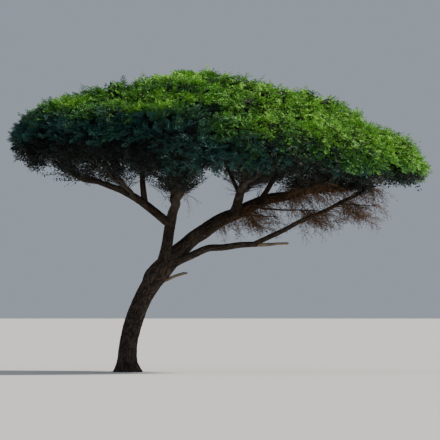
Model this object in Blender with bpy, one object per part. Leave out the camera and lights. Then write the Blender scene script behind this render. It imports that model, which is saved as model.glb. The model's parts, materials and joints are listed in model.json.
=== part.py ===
"""Umbrella thorn acacia: a leaning trunk, spreading boughs and a flat dome of foliage masses.

Metres, +Z up. The origin is the middle of the flat cut under the trunk, at ground level, and +X runs
along the lean of the trunk, towards the longer side of the crown.
"""

import math
from collections import namedtuple

import bmesh
import bpy
import numpy as np
from mathutils import Vector

# Crown
CROWN_TOP = 9.5
CROWN_LENGTH = 13.4
CROWN_DEPTH = 11.6
CROWN_MIDDLE = np.array([2.93, 0.0])
RIM_HEIGHT = 6.3
FULLNESS = (1.30, 1.50)
FALL = (0.23, 0.75)
UNDERSIDE = 6.02
UNDERSIDE_DROP = 0.27
UNDERSIDE_DROP_FROM = 4.0
UNDERSIDE_DROP_LENGTH = 4.0

# Trunk
TRUNK_TOP = 3.70
TRUNK_LEAN = 1.50
TRUNK_LEAN_POWER = 2.2
TRUNK_SWAY = 0.05
TRUNK_SWAY_LENGTH = 3.7
TRUNK_RADIUS = 0.28
TRUNK_END_RADIUS = 0.265
TRUNK_RINGS = 11
TRUNK_SIDES = 20
ROOT_FLARE = 0.17
ROOT_FLARE_HEIGHT = 0.33
ROOT_LOBES = 5
ROOT_LOBE_DEPTH = 0.16
TRUNK_RIDGE_DEPTH = 0.03
FORK_SWELL = 0.06
FORK_HEIGHT = 3.15
FORK_LENGTH = 0.45
TRUNK_ROUND_OFF = 0.30

# Limbs
RING_SPACING = 0.55
COLLAR = 0.28
COLLAR_LENGTH = 0.16
TAPER_POWER = 1.3
CROOK = 0.9
CROOK_LENGTH = 1.3
LIFT_SHARE = 0.6
LIFT_LENGTH = 1.6
TWELVE_SIDES_OVER = 0.25
EIGHT_SIDES_OVER = 0.125

# Foliage masses: one in the middle of the crown and two rings round it
INNER_RING = 6
OUTER_RING = 12
OUTER_PHASE = math.radians(15)
INNER_SHARE = 0.44
OUTER_SHARE = 0.775
PAD_RADIUS = 2.20
OUTER_PAD_REACH = 1.60
INNER_PAD_HALF_HEIGHT = 1.00
PAD_LIFT = 0.20
PAD_TILT_SHARE = 0.70
PAD_JITTER = 0.07
LOW_PAD = "foliage_outer_255"
LOW_PAD_DROP = 0.45

# Growth in a mass, as shares of its pad's half-axes, and sizes of its twigs and sprays
GOLDEN_ANGLE = math.pi * (3 - math.sqrt(5))
HUB_DEPTH = 0.78
FOOT_DEPTH = 0.97
FOOT_INSET = 0.30
STEM_STRAIGHT = 0.06
CORE_SHARES = np.arange(0.70, 0.30, -0.02)
CORE_FLATNESS = 0.86
CORE_SIDES = 8
CORE_RINGS = 5
RIBS = 4
RIB_RADIUS = 0.026
RIB_REACH = 0.62
RIB_KNEE = math.radians(118)
RIB_END = math.radians(92)
SPRAYS = 25
SPRAY_CAP = math.radians(118)
SPRAY_ROOT = 0.50
SPRAY_LEAN = math.radians(14)
SPRAY_SWING = 0.2
SPRAY_SHARES = np.arange(0.985, 0.66, -0.03)
SPRAY_WIDTH = 0.66
SPRAY_THICKNESS = 0.05
SPRAY_WIDEST = 0.56
TOP_ALLOWANCE = 0.10
DRY_SPRAYS = 15
DRY_SPRAY_WIDTH = 0.20
DRY_SPREAD = 0.75
DRY_DROP = 0.6
DRY_FOOT = np.array([-1.02, 0.0, 0.45])
DRY_HUB = np.array([-0.62, 0.0, 0.52])
DRY_END = np.array([0.72, 0.0, 0.38])

# Clearances
GAP = 0.0003
WELD = 0.0001
CELL_GAP = 0.045
LIMB_MARGIN = 0.05

# A limb leaves its parent at a share of the parent's length and ends at a point, or at the foot of the
# mass that end names. With climb over 1 it rises early and then levels out. Bow is its sideways bend.
LimbPlan = namedtuple("LimbPlan", "name parent leaves_at end climb bow root_radius tip_radius")
LIMBS = (
    LimbPlan("bough_right_main", "trunk", 0.95, "foliage_outer_015", 2.55, 0.10, 0.245, 0.060),
    LimbPlan("bough_left_stem", "trunk", 0.88, (1.42, 0.00, 4.86), 1.2, -0.06, 0.185, 0.165),
    LimbPlan("bough_low_inner", "trunk", 0.82, (4.05, -0.75, 3.98), 2.4, 0.06, 0.135, 0.085),
    LimbPlan("bough_low_outer", "bough_low_inner", 0.97, "foliage_outer_345", 0.97, -0.10, 0.082, 0.048),
    LimbPlan("stub_dead", "bough_low_inner", 0.95, (5.10, -0.95, 4.01), 1.0, 0.02, 0.060, 0.038),
    LimbPlan("stub_low", "trunk", 0.68, (1.93, -0.10, 3.12), 1.1, 0.02, 0.062, 0.042),
    LimbPlan("bough_left_main", "bough_left_stem", 0.84, "foliage_outer_195", 2.1, -0.12, 0.145, 0.050),
    LimbPlan("bough_centre_front", "bough_left_stem", 0.97, "foliage_outer_255", 2.6, 0.10, 0.155, 0.055),
    LimbPlan("bough_centre_back", "bough_centre_front", 0.15, "foliage_outer_105", 1.7, 0.10, 0.112, 0.048),
    LimbPlan("bough_left_riser", "bough_left_main", 0.27, "foliage_inner_180", 1.1, -0.06, 0.105, 0.044),
    LimbPlan("bough_left_front", "bough_left_main", 0.38, "foliage_outer_225", 1.5, 0.10, 0.074, 0.044),
    LimbPlan("bough_left_back", "bough_left_main", 0.44, "foliage_outer_135", 1.5, -0.10, 0.072, 0.044),
    LimbPlan("bough_left_far", "bough_left_main", 0.60, "foliage_outer_165", 1.4, -0.10, 0.064, 0.042),
    LimbPlan("bough_front_inner", "bough_centre_front", 0.34, "foliage_inner_240", 1.0, -0.05, 0.068, 0.044),
    LimbPlan("bough_back_inner", "bough_centre_back", 0.32, "foliage_inner_120", 1.0, 0.05, 0.068, 0.044),
    LimbPlan("bough_right_riser", "bough_right_main", 0.36, "foliage_inner_300", 1.05, -0.10, 0.160, 0.048),
    LimbPlan("bough_right_crown", "bough_right_main", 0.49, "foliage_inner_000", 1.5, 0.05, 0.088, 0.044),
    LimbPlan("bough_right_back", "bough_right_main", 0.57, "foliage_outer_045", 1.5, 0.12, 0.074, 0.044),
    LimbPlan("bough_right_front", "bough_right_main", 0.62, "foliage_outer_315", 1.5, -0.12, 0.074, 0.044),
    LimbPlan("bough_riser_front", "bough_right_riser", 0.33, "foliage_outer_285", 1.3, -0.10, 0.090, 0.046),
    LimbPlan("bough_riser_back", "bough_right_riser", 0.20, "foliage_outer_075", 1.4, 0.10, 0.095, 0.046),
    LimbPlan("bough_riser_centre", "bough_right_riser", 0.27, "foliage_centre", 1.0, 0.05, 0.068, 0.044),
    LimbPlan("bough_back_right", "bough_riser_back", 0.34, "foliage_inner_060", 1.0, -0.05, 0.064, 0.042),
    LimbPlan("spur_dry_near", "bough_right_main", 0.24, "dry_twigs_near", 1.0, 0.0, 0.036, 0.028),
    LimbPlan("spur_dry_far", "bough_right_main", 0.44, "dry_twigs_far", 1.0, 0.0, 0.034, 0.026),
    LimbPlan("spur_dry_low", "bough_low_outer", 0.72, "dry_twigs_low", 1.0, 0.0, 0.030, 0.024),
)

# The spaces of the dry masses that hang under the right-hand boughs: centre and half-axes
DRY_PADS = (
    ("dry_twigs_near", (4.15, -0.42, 4.68), (0.86, 0.40, 0.42)),
    ("dry_twigs_far", (5.95, 0.98, 4.86), (0.86, 0.44, 0.42)),
    ("dry_twigs_low", (7.25, -1.85, 4.98), (0.70, 0.50, 0.46)),
)


def unit(vector):
    vector = np.asarray(vector, float)
    return vector / np.linalg.norm(vector)


# Shape of the crown
def crown_top(x, y):
    """Height of the crown over a point in plan.

    A dome on an ellipse: rim height plus rise times (1 - r^a)^b, where r is the share of the way to the
    rim. The powers a and b run from blunt on the left, at -X, to long and low on the right.
    """
    u = (x - CROWN_MIDDLE[0]) / (CROWN_LENGTH / 2)
    v = (y - CROWN_MIDDLE[1]) / (CROWN_DEPTH / 2)
    share = min(math.hypot(u, v), 0.995)
    right = 0.5 + 0.5 * u / max(share, 1e-6)
    fullness = FULLNESS[0] + (FULLNESS[1] - FULLNESS[0]) * right
    fall = FALL[0] + (FALL[1] - FALL[0]) * right
    return RIM_HEIGHT + (CROWN_TOP - RIM_HEIGHT) * (1 - share**fullness) ** fall


def crown_slope(x, y, step=0.25):
    """Steepness of the crown's top, as rise over run, by central differences."""
    across = crown_top(x + step, y) - crown_top(x - step, y)
    deep = crown_top(x, y + step) - crown_top(x, y - step)
    return math.hypot(across, deep) / (2 * step)


def underside(x):
    """Height of the crown's lower edge: level, then lower towards the right end."""
    share = (x - UNDERSIDE_DROP_FROM) / UNDERSIDE_DROP_LENGTH
    return UNDERSIDE - UNDERSIDE_DROP * min(max(share, 0.0), 1.0)


class Pad:
    """The space of one foliage mass: a flat ellipsoid that leans with the crown's surface.

    axes holds its three half-axes as columns: along the rim, away from the middle, and up. The mass's
    stem starts at the foot, and its twigs at the hub.
    """

    def __init__(self, name, centre, half_axes, out=(0.0, 1.0), tilt=0.0, seed=0, hangs=False):
        out = unit([out[0], out[1], 0.0])
        along = np.cross(out, [0.0, 0.0, 1.0])
        up = np.array([0.0, 0.0, math.cos(tilt)]) + out * math.sin(tilt)
        outward = np.cross(up, along)
        self.name = name
        self.seed = seed
        self.hangs = hangs
        self.centre = np.asarray(centre, float)
        self.axes = np.column_stack([along, outward, up]) * half_axes
        self.inverse = np.linalg.inv(self.axes)
        if hangs:
            self.foot = self.inside(DRY_FOOT)
            self.hub = self.inside(DRY_HUB)
            self.stem_end = self.inside(DRY_END)
        else:
            self.foot = self.centre - out * FOOT_INSET - (0.0, 0.0, FOOT_DEPTH * half_axes[2])
            self.hub = self.inside((0.0, 0.0, -HUB_DEPTH))
            self.stem_end = self.inside((0.0, 0.0, -HUB_DEPTH / 5))

    def inside(self, shares):
        """The place at these shares of the three half-axes."""
        return self.centre + self.axes @ np.asarray(shares, float)

    def at(self, polar, turn, depth):
        """The place at a polar angle from the top, a turn round it, and a share of the way out."""
        level = math.sin(polar)
        ray = np.array([level * math.cos(turn), level * math.sin(turn), math.cos(polar)])
        return self.inside(ray * depth)

    def reach(self, points):
        """Distance from the centre as a share of the ellipsoid: 1 is its surface."""
        return np.linalg.norm((np.atleast_2d(points) - self.centre) @ self.inverse.T, axis=1)

    def normal(self, point):
        """Outward normal of the ellipsoid through a point."""
        return unit(self.inverse.T @ (self.inverse @ (point - self.centre)))


def crown_pads():
    """The spaces of the green masses: rings of pads whose tops lie on the dome."""
    jitter = np.random.default_rng(11)
    half_size = np.array([CROWN_LENGTH, CROWN_DEPTH]) / 2
    rings = (
        ("centre", 1, 0.0, 0.0, PAD_RADIUS),
        ("inner", INNER_RING, 0.0, INNER_SHARE, PAD_RADIUS),
        ("outer", OUTER_RING, OUTER_PHASE, OUTER_SHARE, OUTER_PAD_REACH),
    )
    pads = []
    for ring, count, phase, share, reach in rings:
        for k in range(count):
            angle = phase + 2 * math.pi * k / count
            out = np.array([math.cos(angle), math.sin(angle)])
            plan = CROWN_MIDDLE + out * half_size * share + jitter.uniform(-PAD_JITTER, PAD_JITTER, 2)
            grow = 1 + jitter.uniform(-PAD_JITTER, PAD_JITTER) / 2
            tilt = math.atan(crown_slope(*plan)) * PAD_TILT_SHARE if share else 0.0
            name = f"foliage_{ring}" if count == 1 else f"foliage_{ring}_{round(math.degrees(angle)):03d}"
            top = crown_top(*plan) + PAD_LIFT
            half_height = (top - underside(plan[0])) / 2 if ring == "outer" else INNER_PAD_HALF_HEIGHT
            half_height += LOW_PAD_DROP / 2 if name == LOW_PAD else 0.0
            half_axes = (PAD_RADIUS * grow, reach * grow, half_height)
            pads.append(Pad(name, (*plan, top - half_height), half_axes, out, tilt, seed=100 * len(pads) + 7))
    return pads


def dry_pads():
    """The spaces of the dry masses, each beyond the end of its spur."""
    return [
        Pad(name, centre, half_axes, seed=31 + k, hangs=True)
        for k, (name, centre, half_axes) in enumerate(DRY_PADS)
    ]


class Limb:
    """A centreline with a radius at each of its points."""

    def __init__(self, name, points, radii):
        self.name = name
        self.points = points
        self.radii = radii

    def at(self, share):
        """The point at a share of the centreline's length."""
        steps = np.linalg.norm(np.diff(self.points, axis=0), axis=1)
        run = np.concatenate([[0.0], np.cumsum(steps)]) / steps.sum()
        return np.array([np.interp(share, run, column) for column in self.points.T])

    def clear_of(self, points, margin):
        """True if every point keeps the margin to this limb's surface."""
        start = self.points[:-1]
        run = np.diff(self.points, axis=0)
        for point in np.atleast_2d(points):
            share = np.clip(((point - start) * run).sum(1) / (run * run).sum(1), 0.0, 1.0)
            away = np.linalg.norm(point - start - run * share[:, None], axis=1)
            radius = self.radii[:-1] + np.diff(self.radii) * share
            if (away < radius + margin).any():
                return False
        return True


def trunk_limb():
    """The trunk leans more the higher it is, x = lean * (z / top)^power, and ends in a round knuckle."""
    straight = TRUNK_TOP - TRUNK_ROUND_OFF
    z = np.append(np.linspace(0.0, straight, TRUNK_RINGS), straight + TRUNK_ROUND_OFF * np.array([0.45, 0.8, 1.0]))
    share = z / TRUNK_TOP
    x = TRUNK_LEAN * share**TRUNK_LEAN_POWER
    y = TRUNK_SWAY * np.sin(2 * math.pi * z / TRUNK_SWAY_LENGTH)
    taper = TRUNK_RADIUS + (TRUNK_END_RADIUS - TRUNK_RADIUS) * share**6
    swell = FORK_SWELL * np.exp(-(((z - FORK_HEIGHT) / FORK_LENGTH) ** 2))
    flare = ROOT_FLARE * np.exp(-z / ROOT_FLARE_HEIGHT)
    rounding = np.sqrt(1 - np.clip((z - straight) / TRUNK_ROUND_OFF, 0.0, 0.97) ** 2)
    return Limb("trunk", np.column_stack([x, y, z]), (taper + swell + flare) * rounding)


def bough_limb(plan, start, end, seed):
    """A limb whose height follows 1 - (1 - t)^climb, with a sideways bow and seeded crooks."""
    phase = np.random.default_rng(seed).uniform(0, 2 * math.pi, 2)
    span = end - start
    length = np.linalg.norm(span)
    t = np.linspace(0, 1, max(4, round(length / RING_SPACING) + 1))
    heading = unit([span[0], span[1], 1e-6])
    side = np.array([-heading[1], heading[0], 0.0])
    fade = np.sin(math.pi * t)
    crook = CROOK * plan.tip_radius * fade
    sideways = plan.bow * fade + crook * np.sin(2 * math.pi * t * length / CROOK_LENGTH + phase[0])
    upwards = LIFT_SHARE * crook * np.sin(2 * math.pi * t * length / LIFT_LENGTH + phase[1])
    points = start + span * t[:, None] + side * sideways[:, None]
    points[:, 2] = start[2] + span[2] * (1 - (1 - t) ** plan.climb) + upwards
    collar = 1 + COLLAR * np.exp(-t * length / COLLAR_LENGTH)
    radii = plan.root_radius + (plan.tip_radius - plan.root_radius) * t**TAPER_POWER
    return Limb(plan.name, points, radii * collar)


def all_limbs(pads):
    feet = {pad.name: pad.foot for pad in pads}
    limbs = {"trunk": trunk_limb()}
    for seed, plan in enumerate(LIMBS):
        end = feet[plan.end] if isinstance(plan.end, str) else np.array(plan.end)
        limbs[plan.name] = bough_limb(plan, limbs[plan.parent].at(plan.leaves_at), end, seed)
    return limbs


# Blender scene
def clear_scene():
    for thing in list(bpy.data.objects):
        bpy.data.objects.remove(thing)
    for group in list(bpy.data.collections):
        bpy.data.collections.remove(group)


def new_collection(name):
    group = bpy.data.collections.new(name)
    bpy.context.scene.collection.children.link(group)
    return group


def new_material(name, colour, roughness):
    material = bpy.data.materials.new(name)
    material.use_nodes = True
    shader = material.node_tree.nodes["Principled BSDF"]
    shader.inputs["Base Color"].default_value = (*colour, 1.0)
    shader.inputs["Roughness"].default_value = roughness
    shader.inputs["Metallic"].default_value = 0.0
    material.diffuse_color = (*colour, 1.0)
    return material


def add_object(name, data, group):
    thing = bpy.data.objects.new(name, data)
    group.objects.link(thing)
    return thing


def make_helper(thing):
    """Keeps a cutter or a guide out of renders."""
    thing.hide_render = True
    thing.display_type = "WIRE"


def closed_mesh(name, bm):
    """The solid in bm as a mesh of triangles that face out."""
    bmesh.ops.recalc_face_normals(bm, faces=bm.faces)
    bmesh.ops.triangulate(bm, faces=bm.faces)
    if bm.calc_volume(signed=True) < 0:
        bmesh.ops.reverse_faces(bm, faces=bm.faces)
    mesh = bpy.data.meshes.new(name)
    bm.to_mesh(mesh)
    bm.free()
    return mesh


def evaluated_mesh(thing):
    """The object's mesh as its modifiers leave it, or the mesh that a curve makes."""
    graph = bpy.context.evaluated_depsgraph_get()
    return bpy.data.meshes.new_from_object(thing.evaluated_get(graph))


# Booleans
def keep_largest(mesh):
    """Drops every loose scrap and fills every sealed hollow: only the piece of largest extent stays."""
    bm = bmesh.new()
    bm.from_mesh(mesh)
    waiting = set(bm.verts)
    pieces = []
    while waiting:
        front = [waiting.pop()]
        piece = list(front)
        while front:
            vert = front.pop()
            near = {edge.other_vert(vert) for edge in vert.link_edges} & waiting
            waiting -= near
            front.extend(near)
            piece.extend(near)
        pieces.append(piece)
    pieces.sort(key=lambda piece: np.ptp([vert.co[:] for vert in piece], axis=0).sum())
    for piece in pieces[:-1]:
        bmesh.ops.delete(bm, geom=piece, context="VERTS")
    bm.to_mesh(mesh)
    bm.free()


def apply_boolean(thing, operation, group, solver):
    """Applies one Boolean with all objects of a collection and keeps the result as the object's mesh."""
    modifier = thing.modifiers.new("join", "BOOLEAN")
    modifier.operation = operation
    modifier.operand_type = "COLLECTION"
    modifier.collection = group
    modifier.solver = solver
    mesh = evaluated_mesh(thing)
    keep_largest(mesh)
    thing.modifiers.clear()
    thing.data = mesh


def swollen_copy(thing, group):
    """A copy of a whole limb, larger by the gap all round, that later limbs are cut with."""
    grown = add_object(f"{thing.name}_cutter", thing.data.copy(), group)
    make_helper(grown)
    swell = grown.modifiers.new("swell", "DISPLACE")
    swell.strength = GAP
    swell.mid_level = 0.0
    return grown


def boxes_meet(one, other):
    low, high = np.min(one.bound_box, axis=0), np.max(one.bound_box, axis=0)
    other_low, other_high = np.min(other.bound_box, axis=0), np.max(other.bound_box, axis=0)
    return bool((low < other_high + GAP).all() and (other_low < high + GAP).all())


def cut_root(thing, cutters, scratch):
    """Takes the limbs made before it out of a limb's root, and leaves the gap between them."""
    near = [cutter for cutter in cutters if boxes_meet(thing, cutter)]
    for cutter in near:
        scratch.objects.link(cutter)
    apply_boolean(thing, "DIFFERENCE", scratch, "EXACT")
    for cutter in near:
        scratch.objects.unlink(cutter)


# Limbs as solids
def twig_section(group):
    """The triangle that three-sided twigs take as their section, one unit in radius."""
    curve = bpy.data.curves.new("twig_section", "CURVE")
    curve.dimensions = "2D"
    spline = curve.splines.new("POLY")
    spline.points.add(2)
    for k, point in enumerate(spline.points):
        angle = 2 * math.pi * k / 3
        point.co = (math.cos(angle), math.sin(angle), 0, 1)
    spline.use_cyclic_u = True
    section = add_object("twig_section", curve, group)
    make_helper(section)
    return section


def tube(name, points, radii, group, sides=6, section=None):
    """A tapering tube along a path: a curve whose points carry its radii, with filled caps."""
    curve = bpy.data.curves.new(name, "CURVE")
    curve.dimensions = "3D"
    curve.use_fill_caps = True
    if section:
        curve.bevel_mode = "OBJECT"
        curve.bevel_object = section
    else:
        curve.bevel_depth = 1.0
        curve.bevel_resolution = sides // 2 - 2
    spline = curve.splines.new("POLY")
    spline.points.add(len(points) - 1)
    for point, place, radius in zip(spline.points, points, radii):
        point.co = (*place, 1)
        point.radius = radius
    path = add_object(name, curve, group)
    bm = bmesh.new()
    bm.from_mesh(evaluated_mesh(path))
    bpy.data.objects.remove(path)
    bmesh.ops.remove_doubles(bm, verts=bm.verts, dist=WELD)
    return add_object(name, closed_mesh(name, bm), group)


def trunk_ring(centre, radius, axis):
    """One section of the trunk, with root lobes that fade with height and three shallow ridges."""
    across = unit(np.cross([0.0, 1.0, 0.0], axis))
    deep = np.cross(axis, across)
    lobes = ROOT_LOBE_DEPTH * math.exp(-centre[2] / ROOT_FLARE_HEIGHT)
    angle = 2 * math.pi * np.arange(TRUNK_SIDES) / TRUNK_SIDES
    out = radius * (1 + lobes * np.cos(ROOT_LOBES * angle + 0.6) + TRUNK_RIDGE_DEPTH * np.cos(3 * angle))
    return centre + np.outer(out * np.cos(angle), across) + np.outer(out * np.sin(angle), deep)


def trunk_object(limb, group):
    """A loft from the lobed foot to the round top. Its lowest ring lies flat on the ground."""
    tangents = np.gradient(limb.points, axis=0)
    tangents[0] = (0.0, 0.0, 1.0)
    bm = bmesh.new()
    rings = [
        [bm.verts.new(place) for place in trunk_ring(centre, radius, unit(tangent))]
        for centre, radius, tangent in zip(limb.points, limb.radii, tangents)
    ]
    for low, high in zip(rings[:-1], rings[1:]):
        for k in range(TRUNK_SIDES):
            after = (k + 1) % TRUNK_SIDES
            bm.faces.new((low[k], low[after], high[after], high[k]))
    bm.faces.new(rings[0])
    bm.faces.new(rings[-1])
    return add_object(limb.name, closed_mesh(limb.name, bm), group)


def limb_object(limb, group):
    if limb.name == "trunk":
        return trunk_object(limb, group)
    widest = limb.radii[0]
    sides = 12 if widest > TWELVE_SIDES_OVER else 8 if widest > EIGHT_SIDES_OVER else 6
    return tube(limb.name, limb.points, limb.radii, group, sides)


# Foliage as solids
def keeps_to(pad, pads, points):
    """True if the points lie in the pad's own space, nearer to it than to any other by the gap."""
    own = pad.reach(points)
    if (own > 1.0).any():
        return False
    return all((other.reach(points) > own + CELL_GAP).all() for other in pads if other is not pad)


def clear_of_all(limbs, points):
    return all(limb.clear_of(points, LIMB_MARGIN) for limb in limbs)


class Spray:
    """A kite-shaped blade of eight faces: an octahedron stretched from its root to its tip."""

    corners = np.array([(0, 0, -1), (1, 0, 0), (0, 1, 0), (-1, 0, 0), (0, -1, 0), (0, 0, 1)], float)

    def __init__(self, root, tip, normal, width):
        self.root = root
        self.run = tip - root
        across = unit(np.cross(normal, self.run))
        self.half_width = across * np.linalg.norm(self.run) * width / 2
        self.half_thickness = unit(np.cross(self.run, across)) * SPRAY_THICKNESS / 2

    def place(self, corners):
        """Carries points of the unit octahedron to the blade, with its ring at the widest place."""
        x, y, z = np.atleast_2d(corners).T
        share = (z + 1) / 2 + (SPRAY_WIDEST - 0.5) * (1 - abs(z))
        return self.root + np.outer(share, self.run) + np.outer(x, self.half_width) + np.outer(y, self.half_thickness)

    def add_to(self, group):
        bm = bmesh.new()
        bmesh.ops.create_uvsphere(bm, u_segments=4, v_segments=2, radius=1.0)
        for vert in bm.verts:
            vert.co = self.place(vert.co)[0]
        add_object("spray", closed_mesh("spray", bm), group)


def add_core(pad, pads, others, scratch):
    """The dense middle of a mass: a low dome, flatter below than above, that its neighbours press flat."""
    bm = bmesh.new()
    bmesh.ops.create_uvsphere(bm, u_segments=CORE_SIDES, v_segments=CORE_RINGS, radius=1.0)
    for vert in bm.verts:
        ray = np.array(vert.co) * (1.0, 1.0, 1.0 if vert.co.z > 0 else CORE_FLATNESS)
        places = (pad.inside(ray * share) for share in CORE_SHARES)
        free = (place for place in places if keeps_to(pad, pads, place) and clear_of_all(others, place))
        vert.co = Vector(next(free, pad.inside(ray * CORE_SHARES[-1])))
    add_object("core", closed_mesh("core", bm), scratch)


def add_ribs(pad, pads, others, scratch, section):
    """Twigs that spread from the hub like the ribs of a parasol and carry the rim."""
    for k in range(RIBS):
        turn = 2 * math.pi * (k + 0.5) / RIBS + pad.seed
        knee = pad.at(RIB_KNEE, turn, RIB_REACH * 0.85)
        path = np.array([pad.hub, knee, pad.at(RIB_END, turn, RIB_REACH)])
        if keeps_to(pad, pads, path[1:]) and clear_of_all(others, path):
            tube("twig", path, (RIB_RADIUS, RIB_RADIUS, RIB_RADIUS * 0.7), scratch, section=section)


def add_sprays(pad, pads, others, scratch):
    """Sprays over the pad's cap in a sunflower pattern. Each leans away from the top of the pad.

    A spray that would leave the mass's space or the crown is tried shorter, and then left out.
    """
    phase = np.random.default_rng(pad.seed).uniform(0, 2 * math.pi)
    for k in range(SPRAYS):
        polar = math.acos(1 - (1 - math.cos(SPRAY_CAP)) * (k + 0.5) / SPRAYS)
        turn = k * GOLDEN_ANGLE + phase
        root = pad.at(max(polar - SPRAY_LEAN, 0.0), turn, SPRAY_ROOT)
        for share in SPRAY_SHARES:
            tip = pad.at(min(polar + SPRAY_LEAN, SPRAY_CAP), turn + SPRAY_SWING * (-1) ** k, share)
            spray = Spray(root, tip, pad.normal(tip), SPRAY_WIDTH)
            corners = spray.place(spray.corners)
            low_enough = tip[2] < crown_top(tip[0], tip[1]) + TOP_ALLOWANCE
            if low_enough and keeps_to(pad, pads, corners) and clear_of_all(others, corners):
                spray.add_to(scratch)
                break


def add_dry_sprays(pad, pads, others, scratch):
    """Bare dry sprays that leave the stem at a few places along it, hang, and swing to each side."""
    for k in range(DRY_SPRAYS):
        start = DRY_HUB + (DRY_END - DRY_HUB) * (0.09 + 0.9 * (k * 0.4 % 1))
        swing = k * GOLDEN_ANGLE + pad.seed
        sideways = DRY_SPREAD * math.sin(swing)
        reach = start + (0.5 * math.sin(2.3 * swing), sideways, -DRY_DROP - 0.7 * abs(math.cos(swing)))
        tip = pad.inside(reach * min(1.0, SPRAY_SHARES[0] / np.linalg.norm(reach)))
        spray = Spray(pad.inside(start), tip, pad.axes[:, 0], DRY_SPRAY_WIDTH)
        corners = spray.place(spray.corners)
        if keeps_to(pad, pads, corners[1:]) and clear_of_all(others, corners):
            spray.add_to(scratch)


def mass_object(pad, pads, limbs, group, scratch, section):
    """One foliage mass: a stem that carries on from its limb, with all that grows on it, as one union."""
    feeder = next(limb for limb in limbs if np.allclose(limb.points[-1], pad.foot))
    others = [limb for limb in limbs if limb is not feeder]
    leaving = unit(feeder.points[-1] - feeder.points[-2])
    start = pad.foot + leaving * GAP
    path = (start, start + leaving * STEM_STRAIGHT, pad.hub, pad.stem_end)
    stem = tube(pad.name, path, feeder.radii[-1] * np.array([1.0, 1.0, 0.9, 0.6]), group)
    if pad.hangs:
        add_dry_sprays(pad, pads, others, scratch)
    else:
        add_core(pad, pads, others, scratch)
        add_ribs(pad, pads, others, scratch, section)
        add_sprays(pad, pads, others, scratch)
    apply_boolean(stem, "UNION", scratch, "MANIFOLD")
    for used in list(scratch.objects):
        bpy.data.objects.remove(used)
    return stem


def build():
    clear_scene()
    parts = new_collection("acacia_tree")
    helpers = new_collection("cutters")
    scratch = new_collection("to_join")
    section = twig_section(helpers)
    bark = new_material("bark", (0.115, 0.085, 0.062), 0.9)
    leaf = new_material("leaf", (0.105, 0.190, 0.035), 0.75)
    dry = new_material("dry_twig", (0.230, 0.130, 0.060), 0.85)

    pads = crown_pads() + dry_pads()
    limbs = all_limbs(pads)
    cutters = []
    for limb in limbs.values():
        thing = limb_object(limb, parts)
        cutter = swollen_copy(thing, helpers)
        if cutters:
            cut_root(thing, cutters, scratch)
        cutters.append(cutter)
        thing.data.materials.clear()
        thing.data.materials.append(bark)
        thing.data.shade_smooth()
    for pad in pads:
        mass = mass_object(pad, pads, limbs.values(), parts, scratch, section)
        mass.data.materials.clear()
        mass.data.materials.append(dry if pad.hangs else leaf)
    bpy.data.collections.remove(scratch)


build()
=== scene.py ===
"""Umbrella thorn acacia: barked trunk and boughs, and a flat dome of twigs and feathery leaves.

Metres, +Z up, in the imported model's frame. The trunk and boughs follow the solids' centrelines, and each
foliage mass grows again inside its own space, from the same hubs, down to single leaves.
"""

import functools
import json
import math
from collections import namedtuple

import bpy
import numpy as np
from bpy.props import FloatProperty, FloatVectorProperty, IntProperty, PointerProperty
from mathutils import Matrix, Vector

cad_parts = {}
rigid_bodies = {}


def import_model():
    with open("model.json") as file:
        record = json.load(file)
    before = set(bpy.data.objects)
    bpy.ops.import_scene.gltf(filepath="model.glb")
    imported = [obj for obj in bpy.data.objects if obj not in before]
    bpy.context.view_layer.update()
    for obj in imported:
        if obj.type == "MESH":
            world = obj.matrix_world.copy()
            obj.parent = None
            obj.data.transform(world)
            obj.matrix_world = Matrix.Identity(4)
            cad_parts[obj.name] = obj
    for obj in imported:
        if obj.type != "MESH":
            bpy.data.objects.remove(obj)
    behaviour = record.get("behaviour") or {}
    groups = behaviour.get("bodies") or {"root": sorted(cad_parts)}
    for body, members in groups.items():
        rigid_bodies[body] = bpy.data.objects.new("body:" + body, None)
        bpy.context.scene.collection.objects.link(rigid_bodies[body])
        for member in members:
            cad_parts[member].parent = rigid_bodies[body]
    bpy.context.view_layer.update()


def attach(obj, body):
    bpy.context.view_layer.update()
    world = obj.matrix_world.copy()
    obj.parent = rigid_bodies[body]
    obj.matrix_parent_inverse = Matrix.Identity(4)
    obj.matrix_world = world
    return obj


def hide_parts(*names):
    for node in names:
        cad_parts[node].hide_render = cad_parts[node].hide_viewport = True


bl_info = {
    "name": "Umbrella thorn acacia",
    "version": (1, 0, 0),
    "blender": (4, 5, 0),
    "location": "3D View > Sidebar > Acacia",
    "description": "Grows a flat-topped acacia tree round its packed model",
    "category": "Add Mesh",
}

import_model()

UP = np.array([0.0, 0.0, 1.0])
# Upright but for a hair, so that an upright twig has a side too
NEARLY_UP = np.array([1e-3, 2e-3, 1.0])
GOLDEN_ANGLE = math.pi * (3 - math.sqrt(5))

# Crown, as in the solids
CROWN_TOP = 9.5
CROWN_HALF = np.array([6.7, 5.8])
CROWN_MIDDLE = np.array([2.93, 0.0])
RIM_HEIGHT = 6.3
RIM_STOP = 0.995
FULLNESS = (1.30, 1.50)
FALL = (0.23, 0.75)
UNDERSIDE = 6.02
UNDERSIDE_DROP = 0.27
UNDERSIDE_DROP_FROM = 4.0
UNDERSIDE_DROP_LENGTH = 4.0

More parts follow.
